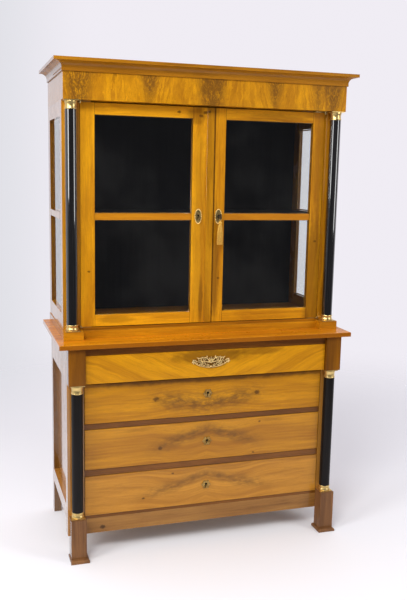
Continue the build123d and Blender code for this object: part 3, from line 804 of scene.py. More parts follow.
        # Darker patches: dirt, deeper figure, and painted shadow and shade.
        for dark_patch in self.dirt_and_shade_patches:
            colour = graph.blend(self.dirt_and_shade_mask(graph, place, dark_patch), colour, toned(self.deep, 0.3))
        if dark is not None:
            colour = graph.blend(dark, colour, toned(self.deep, 0.36, 0.006))
        knots = self.knotted(graph, place)
        if knots is not None:
            colour = graph.blend(graph.times(knots, 0.85), colour, toned(self.deep, 0.25))
        if self.bars is not None:
            x, _, z = graph.split(place)
            on_bar = graph.times(graph.within(z, *self.bars), graph.within(x, *self.cross))
            colour = graph.blend(graph.times(on_bar, 0.55), colour, self.bar_red)
        if self.front_shade:
            front = graph.rise(graph.facing(1), -0.7, -0.95)
            colour = graph.blend(graph.times(front, self.front_shade), colour, shade)
        colour = graph.blend(graph.times(seams, 0.75), colour, toned(self.deep, 0.2))
        rubbed = toned(self.pale, 1.15, 0.06)
        colour = graph.blend(graph.times(wear["Wear"], self.worn_edge), colour, rubbed)
        # Outer side faces get a darker base colour, painted shade that lets the coat's pale reflection outweigh
        # the wood there, and a full coat.
        outer = graph.math("GREATER_THAN", graph.math("ABSOLUTE", graph.split(place)[0]), FLANK_FROM)
        flank = graph.times(graph.rise(graph.math("ABSOLUTE", graph.facing(0)), 0.6, 0.9), outer)
        colour = graph.blend(graph.times(flank, 0.6), colour, toned(self.deep, 0.45, 0.01))
        graph.feed(shader.inputs["Base Color"], colour)
        rough = graph.rise(marks["Polish"], 0.3, 0.7, self.gloss - 0.07, self.gloss + 0.1)
        graph.feed(shader.inputs["Roughness"], rough)
        graph.feed(shader.inputs["Specular IOR Level"], 0.09)
        coat = graph.rise(marks["Dirt"], 0.0, 1.0, self.polish, self.polish * 0.6)
        graph.feed(shader.inputs["Coat Weight"], graph.math("MAXIMUM", coat, flank))
        graph.feed(shader.inputs["Coat Roughness"], 0.07)
        graph.feed(shader.inputs["Coat IOR"], 1.8)
        height = graph.plus(graph.times(grain["Fibre"], 0.35),
                            graph.minus(marks["Height"], graph.times(grain["Pores"], 0.5)))
        height = graph.times(height, graph.minus(1.0, graph.times(flank, 0.9)))
        self.relief(graph, shader, 0.16, 0.7 * MM, height, wear["Normal"])


@dataclass(frozen=True)
class Ebonised(Finish):
    """Black-stained wood under a high polish.

    Attributes:
        name: The material's name.
        gloss: Roughness of the polish.
        coat: Weight of the polish coat.
        shine: Specular level under the coat.
        colour: The stain's colour.
    """

    name: str
    gloss: float = 0.06
    coat: float = 0.9
    shine: float = 0.3
    colour: Colour = (0.0035, 0.0032, 0.0036)

    def build(self, graph: Graph, shader: bpy.types.Node) -> None:
        """Fill the shader's sockets.

        Args:
            graph: The material's graph.
            shader: Its Principled node.
        """
        place = object_place(graph)
        x, y, z = graph.split(place)
        grain = group_node(graph, SharedGroups.grain(), Vector=graph.combine(z, y, x), Warp=0.03, Streak=0.4)
        marks = group_node(graph, SharedGroups.grime(), Vector=graph.combine(z, y, x))
        brown = toned(self.colour, 3.2, 0.002)
        colour = graph.blend(graph.times(graph.rise(grain["Tone"], 0.45, 0.9), 0.6), self.colour, brown)
        graph.feed(shader.inputs["Base Color"], colour)
        rough = graph.rise(marks["Polish"], 0.3, 0.7, self.gloss, self.gloss + 0.09)
        graph.feed(shader.inputs["Roughness"], rough)
        graph.feed(shader.inputs["Specular IOR Level"], self.shine)
        coat = graph.rise(marks["Dirt"], 0.0, 1.0, self.coat, self.coat * 0.6)
        graph.feed(shader.inputs["Coat Weight"], coat)
        graph.feed(shader.inputs["Coat Roughness"], 0.05)
        graph.feed(shader.inputs["Coat IOR"], 1.85)
        self.relief(graph, shader, 0.1, 0.4 * MM, graph.plus(grain["Fibre"], marks["Height"]))


@dataclass(frozen=True)
class Brass(Finish):
    """Gilt or plain brass with patina in its hollows.

    Attributes:
        name: The material's name.
        bright: Colour of the rubbed metal.
        dull: Colour of the patina.
        patina: Share of the surface that the patina covers.
        gloss: Roughness of the rubbed metal.
    """

    name: str
    bright: Colour = (0.86, 0.56, 0.13)
    dull: Colour = (0.24, 0.13, 0.025)
    patina: float = 0.45
    gloss: float = 0.32

    def build(self, graph: Graph, shader: bpy.types.Node) -> None:
        """Fill the shader's sockets.

        Args:
            graph: The material's graph.
            shader: Its Principled node.
        """
        place = object_place(graph)
        cloud = graph.noise(place, 90.0, 5.0, 0.65)
        fine = graph.noise(place, 620.0, 3.0, 0.6)
        cover = graph.rise(graph.plus(graph.times(cloud, 0.7), graph.times(fine, 0.3)),
                           0.62 - self.patina * 0.4, 0.78 - self.patina * 0.3)
        wear = group_node(graph, SharedGroups.edges(), Radius=0.8 * MM)
        kept = graph.times(cover, graph.minus(1.0, wear["Wear"]), clamp=True)
        graph.feed(shader.inputs["Base Color"], graph.blend(kept, self.bright, self.dull))
        graph.feed(shader.inputs["Metallic"], graph.rise(kept, 0.0, 1.0, 1.0, 0.75))
        graph.feed(shader.inputs["Roughness"], graph.rise(kept, 0.0, 1.0, self.gloss, self.gloss + 0.3))
        self.relief(graph, shader, 0.25, 0.3 * MM, graph.plus(fine, cloud), wear["Normal"])


@dataclass(frozen=True)
class Glass(Finish):
    """Clear old window glass, a little uneven.

    Attributes:
        name: The material's name.
        ripple: Height of the waves in metres.
    """

    name: str
    ripple: float = 0.25 * MM

    def build(self, graph: Graph, shader: bpy.types.Node) -> None:
        """Fill the shader's sockets.

        Args:
            graph: The material's graph.
            shader: Its Principled node.
        """
        place = object_place(graph)
        tint = graph.ramp(graph.noise(place, 5.0, 2.0), (0.0, (0.93, 0.96, 0.95)), (1.0, (0.97, 0.985, 0.98)))
        graph.feed(shader.inputs["Base Color"], tint)
        graph.feed(shader.inputs["Transmission Weight"], 1.0)
        graph.feed(shader.inputs["IOR"], 1.46)
        haze = graph.rise(graph.noise(place, 11.0, 4.0, 0.6), 0.55, 0.8, 0.0, 0.012)
        graph.feed(shader.inputs["Roughness"], haze)
        self.relief(graph, shader, 0.14, self.ripple,
                    graph.noise(graph.vector("MULTIPLY", place, (3.0, 3.0, 1.4)), 2.0, 2.0))


@dataclass(frozen=True)
class Silk(Finish):
    """Twisted silk threads.

    Attributes:
        name: The material's name.
        pale: Colour of the threads' crests.
        deep: Colour between the threads, darker there as painted shade in the gaps.
    """

    name: str
    pale: Colour = (0.88, 0.52, 0.07)
    deep: Colour = (0.44, 0.2, 0.012)

    def build(self, graph: Graph, shader: bpy.types.Node) -> None:
        """Fill the shader's sockets.

        Args:
            graph: The material's graph.
            shader: Its Principled node.
        """
        place = object_place(graph)
        threads = graph.noise(graph.vector("MULTIPLY", place, (1500.0, 1500.0, 160.0)), 1.0, 2.0)
        tone = graph.noise(place, 180.0, 3.0)
        mixed = graph.plus(graph.times(threads, 0.6), graph.times(tone, 0.4))
        # Darker colour between the threads is painted shade in the gaps.
        graph.feed(shader.inputs["Base Color"], graph.ramp(mixed, (0.3, self.deep), (0.6, self.pale)))
        graph.feed(shader.inputs["Roughness"], graph.rise(threads, 0.3, 0.7, 0.45, 0.62))
        shader.inputs["Sheen Weight"].default_value = 0.5
        shader.inputs["Sheen Roughness"].default_value = 0.35
        self.relief(graph, shader, 0.5, 0.25 * MM, threads)


@dataclass(frozen=True)
class Lining(Finish):
    """Dark-stained boards inside the case.

    Attributes:
        name: The material's name.
        colour: The stain's colour.
    """

    name: str
    colour: Colour = (0.0035, 0.0033, 0.004)

    def build(self, graph: Graph, shader: bpy.types.Node) -> None:
        """Fill the shader's sockets.

        Args:
            graph: The material's graph.
            shader: Its Principled node.
        """
        place = object_place(graph)
        x, y, z = graph.split(place)
        grain = group_node(graph, SharedGroups.grain(), Vector=graph.combine(z, y, x), Warp=0.04, Streak=0.4)
        board = 0.19
        edge = graph.math("PINGPONG", graph.plus(x, 2.0), board / 2)
        seam = graph.minus(1.0, graph.rise(edge, 0.0004, 0.0016))
        lighter = toned(self.colour, 1.7, 0.001)
        colour = graph.ramp(grain["Tone"], (0.1, self.colour), (0.9, lighter))
        outside = graph.math("GREATER_THAN", graph.facing(1), 0.5)
        raw = graph.ramp(grain["Tone"], (0.1, (0.17, 0.095, 0.042)), (0.9, (0.36, 0.22, 0.105)))
        colour = graph.blend(outside, colour, raw)
        colour = graph.blend(seam, colour, (0.001, 0.001, 0.001))
        graph.feed(shader.inputs["Base Color"], colour)
        graph.feed(shader.inputs["Roughness"], graph.rise(grain["Fibre"], 0.3, 0.7, 0.62, 0.8))
        graph.feed(shader.inputs["Specular IOR Level"], 0.08)
        self.relief(graph, shader, 0.12, 0.5 * MM, graph.minus(grain["Fibre"], seam))


GILT = Brass("gilt_brass", bright=(0.6, 0.38, 0.1), patina=0.72)
LOCK_BRASS = Brass("lock_brass", bright=(0.55, 0.4, 0.15), patina=0.55, gloss=0.32)
IRON = Brass("dark_iron", bright=(0.16, 0.14, 0.125), dull=(0.03, 0.024, 0.02), patina=0.5, gloss=0.35)
KEY_METAL = Brass("key_metal", bright=(0.16, 0.125, 0.08), dull=(0.03, 0.022, 0.014), patina=0.5, gloss=0.28)
# The keyhole openings are thin plates; their near-black colour is painted shade for the hole.
KEYHOLE = Brass("keyhole_dark", bright=(0.006, 0.005, 0.004), dull=(0.003, 0.002, 0.002), patina=0.6,
                gloss=0.65)
CLEAR = Glass("window_glass")
BLACK_GLOSS = Ebonised("black_gloss")
BLACK_SATIN = Ebonised("black_satin", gloss=0.3, coat=0.04, shine=0.12, colour=(0.006, 0.0045, 0.004))
DARK_BOARDS = Lining("dark_boards")
TASSEL_SILK = Silk("tassel_silk")


@dataclass(frozen=True)
class Strand:
    """One line of a bent wire, thread or bead strip.

    Attributes:
        points: The points it follows.
        radii: The radius at each point, as a share of the bundle's own.
        closed: Whether it runs back to its start.
        smooth: Whether it is curved and not bent at each point.
    """

    points: tuple[Point, ...]
    radii: tuple[float, ...] = ()
    closed: bool = False
    smooth: bool = True


def middle_of(low: Point, high: Point) -> Point:
    """Find the middle of a box."""
    return tuple((a + b) / 2 for a, b in zip(low, high))


def circle(centre: Point, across: float, up: float, count: int, upright: bool = True) -> Strand:
    """Lay a closed line round an ellipse.

    Args:
        centre: Its middle.
        across: Its half width.
        up: Its other half size.
        count: Number of points.
        upright: Whether it stands up and faces the front, and doesn't lie level.

    Returns:
        The line.
    """
    x, y, z = centre
    points = []
    for index in range(count):
        angle = math.tau * index / count
        side, rise = across * math.cos(angle), up * math.sin(angle)
        points.append((x + side, y, z + rise) if upright else (x + side, y + rise, z))
    return Strand(tuple(points), closed=True)


def deselect() -> None:
    """Leave edit mode and select nothing."""
    if bpy.context.object and bpy.context.object.mode != "OBJECT":
        bpy.ops.object.mode_set(mode="OBJECT")
    bpy.ops.object.select_all(action="DESELECT")


def active(name: str) -> bpy.types.Object:
    """Name the piece just made.

    Args:
        name: Its name.

    Returns:
        The piece.
    """
    made = bpy.context.object
    made.name = name
    made.data.name = name
    return made


def settle(piece: bpy.types.Object) -> bpy.types.Object:
    """Put a piece's place into its mesh, so that its own origin is the frame's.

    Args:
        piece: The piece.

    Returns:
        The piece.
    """
    deselect()
    piece.select_set(True)
    bpy.context.view_layer.objects.active = piece
    bpy.ops.object.transform_apply(location=True, rotation=True, scale=True)
    return piece


def join(name: str, pieces: list[bpy.types.Object]) -> bpy.types.Object:
    """Join pieces into one.

    Args:
        name: The joined piece's name.
        pieces: What is joined.

    Returns:
        The joined piece.
    """
    deselect()
    for piece in pieces:
        piece.select_set(True)
    bpy.context.view_layer.objects.active = pieces[0]
    bpy.ops.object.join()
    bpy.ops.object.transform_apply(location=True, rotation=True, scale=True)
    made = active(name)
    made.location = (0.0, 0.0, 0.0)
    return made


def copy_at(piece: bpy.types.Object, name: str, shift: Point) -> bpy.types.Object:
    """Copy a piece with a mesh of its own.

    Args:
        piece: What is copied.
        name: The copy's name.
        shift: How far the copy is moved.

    Returns:
        The copy.
    """
    made = piece.copy()
    made.data = piece.data.copy()
    made.name = name
    made.data.name = name
    made.data.transform(Matrix.Translation(shift))
    bpy.context.collection.objects.link(made)
    return made


def finish_piece(piece: bpy.types.Object, finish: Finish, body: str, slot: str, *nodes: str) -> None:
    """Dress a new piece and fasten it to its body.

    Args:
        piece: The piece.
        finish: Its finish.
        body: The body it rides on.
        slot: The record's slot that its finish comes from. Not used.
        nodes: The CAD nodes that it stands for.
    """
    if not piece.data.materials:
        piece.data.materials.append(finish.material())
    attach(piece, body)
    if nodes:
        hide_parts(*nodes)
    log.info("%s on %s: %d faces", piece.name, body, len(piece.data.polygons))


def bundle(name: str, strands: list[Strand], radius: float, roundness: int = 2) -> bpy.types.Object:
    """Make solid wires, threads or strips from their lines.

    Args:
        name: The piece's name.
        strands: Its lines.
        radius: Radius of each line.
        roundness: How finely its section is divided.

    Returns:
        The piece as a mesh.
    """
    deselect()
    data = bpy.data.curves.new(name, "CURVE")
    data.dimensions = "3D"
    data.bevel_depth = radius
    data.bevel_resolution = roundness
    data.resolution_u = 6
    data.use_fill_caps = True
    for strand in strands:
        line = data.splines.new("NURBS" if strand.smooth else "POLY")
        line.points.add(len(strand.points) - 1)
        radii = strand.radii or (1.0,) * len(strand.points)
        for point, place, size in zip(line.points, strand.points, radii):
            point.co = (*place, 1.0)
            point.radius = size
        line.use_cyclic_u = strand.closed
        if strand.smooth:
            line.order_u = 3
            line.use_endpoint_u = not strand.closed
    made = bpy.data.objects.new(name, data)
    bpy.context.collection.objects.link(made)
    made.select_set(True)
    bpy.context.view_layer.objects.active = made
    bpy.ops.object.convert(target="MESH")
    bpy.ops.object.shade_smooth_by_angle(angle=math.radians(50))
    return active(name)


def drop(name: str, centre: Point, size: Point, turn: float = 0.0, rings: int = 6) -> bpy.types.Object:
    """Make a rounded drop or bead, pointed at one end.

    Args:
        name: The piece's name.
        centre: Its middle.
        size: Its whole size along each axis before it is turned.
        turn: Turn about the depth axis, in radians.
        rings: How finely it is divided.

    Returns:
        The piece.
    """
    deselect()
    bpy.ops.mesh.primitive_uv_sphere_add(segments=10, ring_count=rings, radius=0.5, location=(0.0, 0.0, 0.0))
    made = active(name)
    bpy.ops.object.mode_set(mode="EDIT")
    bpy.ops.mesh.select_all(action="DESELECT")
    bpy.ops.object.mode_set(mode="OBJECT")
    for vertex in made.data.vertices:
        vertex.select = vertex.co.z > 0.2
    bpy.ops.object.mode_set(mode="EDIT")
    bpy.ops.transform.resize(value=(0.62, 0.8, 1.12), center_override=(0.0, 0.0, 0.2))
    bpy.ops.object.mode_set(mode="OBJECT")
    bpy.ops.object.shade_smooth()
    made.scale = size
    made.rotation_euler = (0.0, turn, 0.0)
    made.location = centre
    return settle(made)


def keyhole(name: str, x: float, face: float, z: float, size: float) -> bpy.types.Object:
    """Make the dark opening of a keyhole: a thin plate on the face, its near-black finish painted shade for the
    hole.

    Args:
        name: The piece's name.
        x: Place across.
        face: Place of the plate's face in depth.
        z: Height of the round part's middle.
        size: Radius of the round part.

    Returns:
        The piece.
    """
    deselect()
    depth = 0.6 * MM
    bpy.ops.mesh.primitive_cylinder_add(vertices=20, radius=size, depth=depth, location=(x, face, z),
                                        rotation=(math.pi / 2, 0.0, 0.0))
    round_part = active(name + "_round")
    bpy.ops.mesh.primitive_cone_add(vertices=4, radius1=size * 1.05, radius2=size * 0.7, depth=size * 2.6,
                                    location=(x, face, z - size * 1.7), rotation=(0.0, 0.0, math.pi / 4))
    slot_part = active(name + "_slot")
    slot_part.scale = (0.8, depth / (size * 1.4), 1.0)
    return join(name, [round_part, slot_part])


@dataclass
class FriezeMount:
    """The pierced scrolled mount in the middle of the top drawer.

    Attributes:
        node: The CAD node that it stands for.
        wire: Radius of its scrolls.
        steps_per_turn: How finely a scroll is divided.
        gilt: Its finish.
    """

    node: str = "frieze_mount"
    wire: float = 1.75 * MM
    steps_per_turn: int = 10
    gilt: Brass = Brass("mount_gilt", bright=(1.0, 0.76, 0.34), patina=0.3, gloss=0.4)

    def __post_init__(self) -> None:
        """Read the place and the half sizes from the CAD node."""
        low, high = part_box(self.node)
        self.middle, _, self.level = middle_of(low, high)
        self.half_width = (high[0] - low[0]) / 2
        self.half_height = (high[2] - low[2]) / 2
        self.face = low[1]
        self.back = high[1]

    def place(self, across: float, up: float, proud: float = 0.5) -> Point:
        """Turn shares of the mount's half sizes into a place.

        Args:
            across: Share of the half width from the middle.
            up: Share of the half height from the middle.
            proud: Share of the thickness in front of the drawer.

        Returns:
            The place in the frame.
        """
        return (self.middle + across * self.half_width, self.back + (self.face - self.back) * proud,
                self.level + up * self.half_height)

    def scroll(self, across: float, up: float, radius: float, turns: float, start: float, way: int) -> Strand:
        """Wind one scroll.

        Args:
            across: Share of the half width where its eye lies.
            up: Share of the half height where its eye lies.
            radius: Its outer radius in metres.
            turns: How often it winds.
            start: Direction of its outer end in degrees.
            way: 1 or -1, the way it winds.

        Returns:
            Its line.
        """
        steps = int(turns * self.steps_per_turn) + 2
        winding, thinning = 0.82, 0.45
        foot, lift = 0.42, 0.2
        x0, _, z0 = self.place(across, up)
        points = []
        radii = []
        for step in range(steps):
            share = step / (steps - 1)
            angle = math.radians(start) + way * share * turns * 2 * math.pi
            reach = radius * (1.0 - winding * share)
            depth = self.place(0, 0, foot + lift * share)[1]
            points.append((x0 + reach * math.cos(angle), depth, z0 + reach * math.sin(angle)))
            radii.append(1.0 - thinning * share)
        return Strand(tuple(points), tuple(radii))

    def stem(self, sign: int, radii: tuple[float, ...], *places: tuple[float, float]) -> Strand:
        """Draw one stem.

        Args:
            sign: 1 for the right half, -1 for the left.
            radii: Its radii as shares of the wire's.
            places: The points it follows, as shares of the half sizes.

        Returns:
            Its line.
        """
        return Strand(tuple(self.place(sign * across, up) for across, up in places), radii)

    def side(self, sign: int) -> list[Strand]:
        """Lay out the scrolls and stems of one half.

        Args:
            sign: 1 for the right half, -1 for the left.

        Returns:
            Its lines.
        """
        unit = self.half_height
        scrolls = (
            (0.86, 0.08, 0.36, 1.4, -70, 1),
            (0.6, 0.34, 0.34, 1.3, -120, -1),
            (0.58, -0.42, 0.27, 1.2, 100, 1),
            (0.36, -0.3, 0.36, 1.4, 80, -1),
            (0.32, 0.42, 0.3, 1.3, -100, 1),
            (0.15, -0.52, 0.24, 1.2, 60, -1),
        )
        lines = []
        for across, up, size, turns, start, way in scrolls:
            outer_end = start if sign > 0 else 180.0 - start
            lines.append(self.scroll(sign * across, up, unit * size, turns, outer_end, sign * way))
        lines.append(self.stem(sign, (1.0, 1.0, 0.9, 0.8, 0.4), (0.05, -0.86), (0.3, -0.78), (0.55, -0.62),
                               (0.78, -0.3), (0.97, 0.1)))
        lines.append(self.stem(sign, (1.0, 0.9, 0.8, 0.7, 0.4), (0.08, -0.1), (0.3, 0.08), (0.52, -0.06),
                               (0.76, 0.1), (0.9, 0.34)))
        lines.append(self.stem(sign, (1.0, 0.8, 0.6, 0.4),
                               (0.1, 0.12), (0.2, 0.62), (0.4, 0.74), (0.62, 0.6)))
        return lines

    def leaves(self) -> list[bpy.types.Object]:
        """Make the palmette and the leaves on the stems.

        Returns:
            Their drops.
        """
        made = []
        x0, y0, z0 = self.place(0.0, -0.1, 0.55)
        petals = ((0, 0.9), (24, 0.82), (-24, 0.82), (48, 0.7), (-48, 0.7), (76, 0.56), (-76, 0.56))
        petal_width, petal_depth, overlap = 4.6 * MM, 3.0 * MM, 1.25
        for index, (turn, length) in enumerate(petals):
            angle = math.radians(turn)
            reach = length * self.half_height * 0.62
            centre = (x0 + math.sin(angle) * reach, y0, z0 + math.cos(angle) * reach)
            made.append(drop(f"palm_{index}", centre, (petal_width, petal_depth, reach * overlap), angle))
        made.append(drop("palm_eye", (x0, y0, z0), (9.0 * MM, 4.4 * MM, 8.0 * MM)))
        made.append(drop("palm_foot", self.place(0.0, -0.72, 0.5), (13.0 * MM, 3.6 * MM, 7.0 * MM)))
        leaf_size = (4.4 * MM, 2.8 * MM, 9.5 * MM)
        places = ((0.93, 0.3, 40), (0.74, -0.22, 120), (0.46, 0.1, 75), (0.24, 0.05, 60), (0.47, 0.66, 20),
                  (0.7, 0.62, 60), (0.44, -0.66, 110), (0.22, 0.78, 25), (0.97, -0.02, 95))
        for sign in (1, -1):
            for index, (across, up, turn) in enumerate(places):
                made.append(drop(f"leaf_{sign}_{index}", self.place(sign * across, up, 0.45), leaf_size,
                                 math.radians(sign * turn)))
        return made

    def build(self) -> None:
        """Build the mount and fasten it to the drawer."""
        wires = bundle("mount_wires", self.side(1) + self.side(-1), self.wire)
        whole = join("frieze_mount_scrolls", [wires, *self.leaves()])
        finish_piece(whole, self.gilt, "drawer_1", "gilt_brass", self.node)


@dataclass
class Rosettes:
    """The six-lobed keyhole plates of the three lower drawers.

    Attributes:
        numbers: The drawers that have one.
        lobes: Number of lobes.
        points_per_lobe: Number of corners from one lobe to the next.
        notch: How far the rim is drawn in between two lobes.
        hole: Radius of the keyhole's round part.
        gilt: Their finish.
    """

    numbers: tuple[int, ...] = (2, 3, 4)
    lobes: int = 6
    points_per_lobe: int = 4
    notch: float = 0.8
    hole: float = 5.0 * MM
    gilt: Brass = Brass("rosette_gilt", bright=(0.62, 0.4, 0.13), patina=0.65, gloss=0.4)

    def plate(self, name: str, x: float, face: float, back: float, z: float,
              radius: float) -> bpy.types.Object:
        """Make one plate.

        Args:
            name: Its name.
            x: Place across.
            face: Place of its front in depth.
            back: Place of its back in depth.
            z: Height of its middle.
            radius: Its outer radius.

        Returns:
            The plate.
        """
        deselect()
        thick = (back - face) * 0.55
        corners = self.lobes * self.points_per_lobe
        bpy.ops.mesh.primitive_cylinder_add(vertices=corners, radius=radius * 1.02, depth=thick,
                                            location=(0.0, 0.0, 0.0))
        made = active(name)
        bpy.ops.object.mode_set(mode="EDIT")
        bpy.ops.mesh.select_all(action="DESELECT")
        bpy.ops.object.mode_set(mode="OBJECT")
        for vertex in made.data.vertices:
            step = round(math.atan2(vertex.co.y, vertex.co.x) / (2 * math.pi) * corners)
            vertex.select = step % self.points_per_lobe == 0
        bpy.ops.object.mode_set(mode="EDIT")
        bpy.ops.transform.resize(value=(self.notch, self.notch, 1.0), center_override=(0.0, 0.0, 0.0))
        bpy.ops.mesh.select_all(action="DESELECT")
        bpy.ops.object.mode_set(mode="OBJECT")
        for face_part in made.data.polygons:
            face_part.select = abs(face_part.normal.z) > FACING
        bpy.ops.object.mode_set(mode="EDIT")
        bpy.ops.mesh.inset(thickness=radius * 0.12, depth=radius * 0.03)
        bpy.ops.mesh.inset(thickness=radius * 0.16, depth=-radius * 0.06)
        bpy.ops.mesh.inset(thickness=radius * 0.16, depth=radius * 0.03)
        bpy.ops.object.mode_set(mode="OBJECT")
        smooth = made.modifiers.new("smooth", "SUBSURF")
        smooth.levels = 1
        bpy.ops.object.modifier_apply(modifier=smooth.name)
        bpy.ops.object.shade_smooth_by_angle(angle=math.radians(40))
        made.rotation_euler = (math.pi / 2, 0.0, 0.0)
        made.location = (x, face + thick * 0.62, z)
        return settle(made)

    def first(self, number: int) -> tuple[bpy.types.Object, bpy.types.Object]:
        """Build the first rosette with its beads and its keyhole.

        Args:
            number: Its drawer.

        Returns:
            The rosette and the keyhole.
        """
        low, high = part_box(f"keyhole_rosette_{number}")
        x, _, z = middle_of(low, high)
        radius = (high[0] - low[0]) / 2
        bead_ring, bead_size = 0.73, (11.5 * MM, 3.2 * MM, 12.0 * MM)
        parts = [self.plate("rosette_plate", x, low[1], high[1], z, radius * 0.84)]
        for index in range(self.lobes):
            angle = 2 * math.pi * (index + 0.5) / self.lobes
            reach = radius * bead_ring
            centre = (x + reach * math.sin(angle), low[1] + 1.2 * MM, z + reach * math.cos(angle))
            parts.append(drop(f"rosette_drop_{index}", centre, bead_size, angle))
        ring = circle((x, low[1] + 1.0 * MM, z), radius * 0.4, radius * 0.46, 14)
        parts.append(bundle("rosette_ring", [ring], 1.1 * MM))
        rosette = join(f"rosette_{number}", parts)
        hole = keyhole(f"rosette_keyhole_{number}", x, low[1] - 0.6 * MM, z + 3.0 * MM, self.hole)
        return rosette, hole

    def build(self) -> None:
        """Build one rosette and copy it to the other drawers."""
        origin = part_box(f"keyhole_rosette_{self.numbers[0]}")[0]
        model = self.first(self.numbers[0])
        for number in self.numbers:
            node = f"keyhole_rosette_{number}"
            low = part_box(node)[0]
            pieces = model
            if number != self.numbers[0]:
                shift = tuple(new - old for new, old in zip(low, origin))
                names = (f"rosette_{number}", f"rosette_keyhole_{number}")
                pieces = [copy_at(piece, name, shift) for piece, name in zip(model, names)]
            finish_piece(pieces[0], self.gilt, f"drawer_{number}", "gilt_brass", node)
            finish_piece(pieces[1], KEYHOLE, f"drawer_{number}", "iron")


@dataclass
class Escutcheons:
    """The oval keyhole plates of the two doors, with a beaded edge.

    Attributes:
        bead_count: Number of beads round a plate.
        bead: Size of a bead.
        plate_metal: Finish of the plate.
        rim_gilt: Finish of the beads.
    """

    bead_count: int = 26
    bead: Point = (5.2 * MM, 3.6 * MM, 5.2 * MM)
    plate_metal: Brass = Brass("escutcheon_plate", bright=(0.4, 0.28, 0.1), dull=(0.08, 0.05, 0.02),
                               patina=0.55,
                               gloss=0.4)
    rim_gilt: Brass = Brass("escutcheon_gilt", bright=(1.0, 0.74, 0.28), patina=0.2, gloss=0.4)

    def build_one(self, side: str) -> None:
        """Build one plate.

        Args:
            side: Which door it is on.
        """
        node = f"door_escutcheon_{side}"
        low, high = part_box(node)
        x, _, z = middle_of(low, high)
        half_width = (high[0] - low[0]) / 2
        half_height = (high[2] - low[2]) / 2
        thick = (high[1] - low[1]) * 0.6
        deselect()
        bpy.ops.mesh.primitive_cylinder_add(vertices=40, radius=1.0, depth=thick, location=(0.0, 0.0, 0.0))
        plate = active(f"escutcheon_plate_{side}")
        plate.scale = (half_width * 0.9, half_height * 0.94, 1.0)
        settle(plate)
        for part in plate.data.polygons:
            part.select = abs(part.normal.z) > FACING
        bpy.ops.object.mode_set(mode="EDIT")
        bpy.ops.mesh.inset(thickness=2.6 * MM, depth=0.0)
        bpy.ops.mesh.inset(thickness=1.0 * MM, depth=-0.7 * MM)
        bpy.ops.mesh.inset(thickness=2.2 * MM, depth=0.5 * MM)
        bpy.ops.object.mode_set(mode="OBJECT")
        bpy.ops.object.shade_smooth_by_angle(angle=math.radians(35))
        plate.rotation_euler = (math.pi / 2, 0.0, 0.0)
        plate.location = (x, high[1] - thick * 0.5, z)
        settle(plate)
        beads = []
        for index in range(self.bead_count):
            angle = math.tau * index / self.bead_count
            centre = (x + half_width * 0.85 * math.cos(angle), low[1] + 1.7 * MM,
                      z + half_height * 0.92 * math.sin(angle))
            beads.append(drop(f"bead_{side}_{index}", centre, self.bead, 0.0, 4))
        plate.data.materials.append(self.plate_metal.material())
        for bead in beads:
            bead.data.materials.append(self.rim_gilt.material())
        whole = join(f"escutcheon_{side}", [plate, *beads])
        finish_piece(whole, self.rim_gilt, f"door_{side}", "gilt_brass", node)
        hole = keyhole(f"escutcheon_keyhole_{side}", x, high[1] - thick - 0.2 * MM, z + 4 * MM, 4.4 * MM)
        finish_piece(hole, KEYHOLE, f"door_{side}", "iron")

    def build(self) -> None:
        """Build both plates."""
        for side in ("left", "right"):
            self.build_one(side)


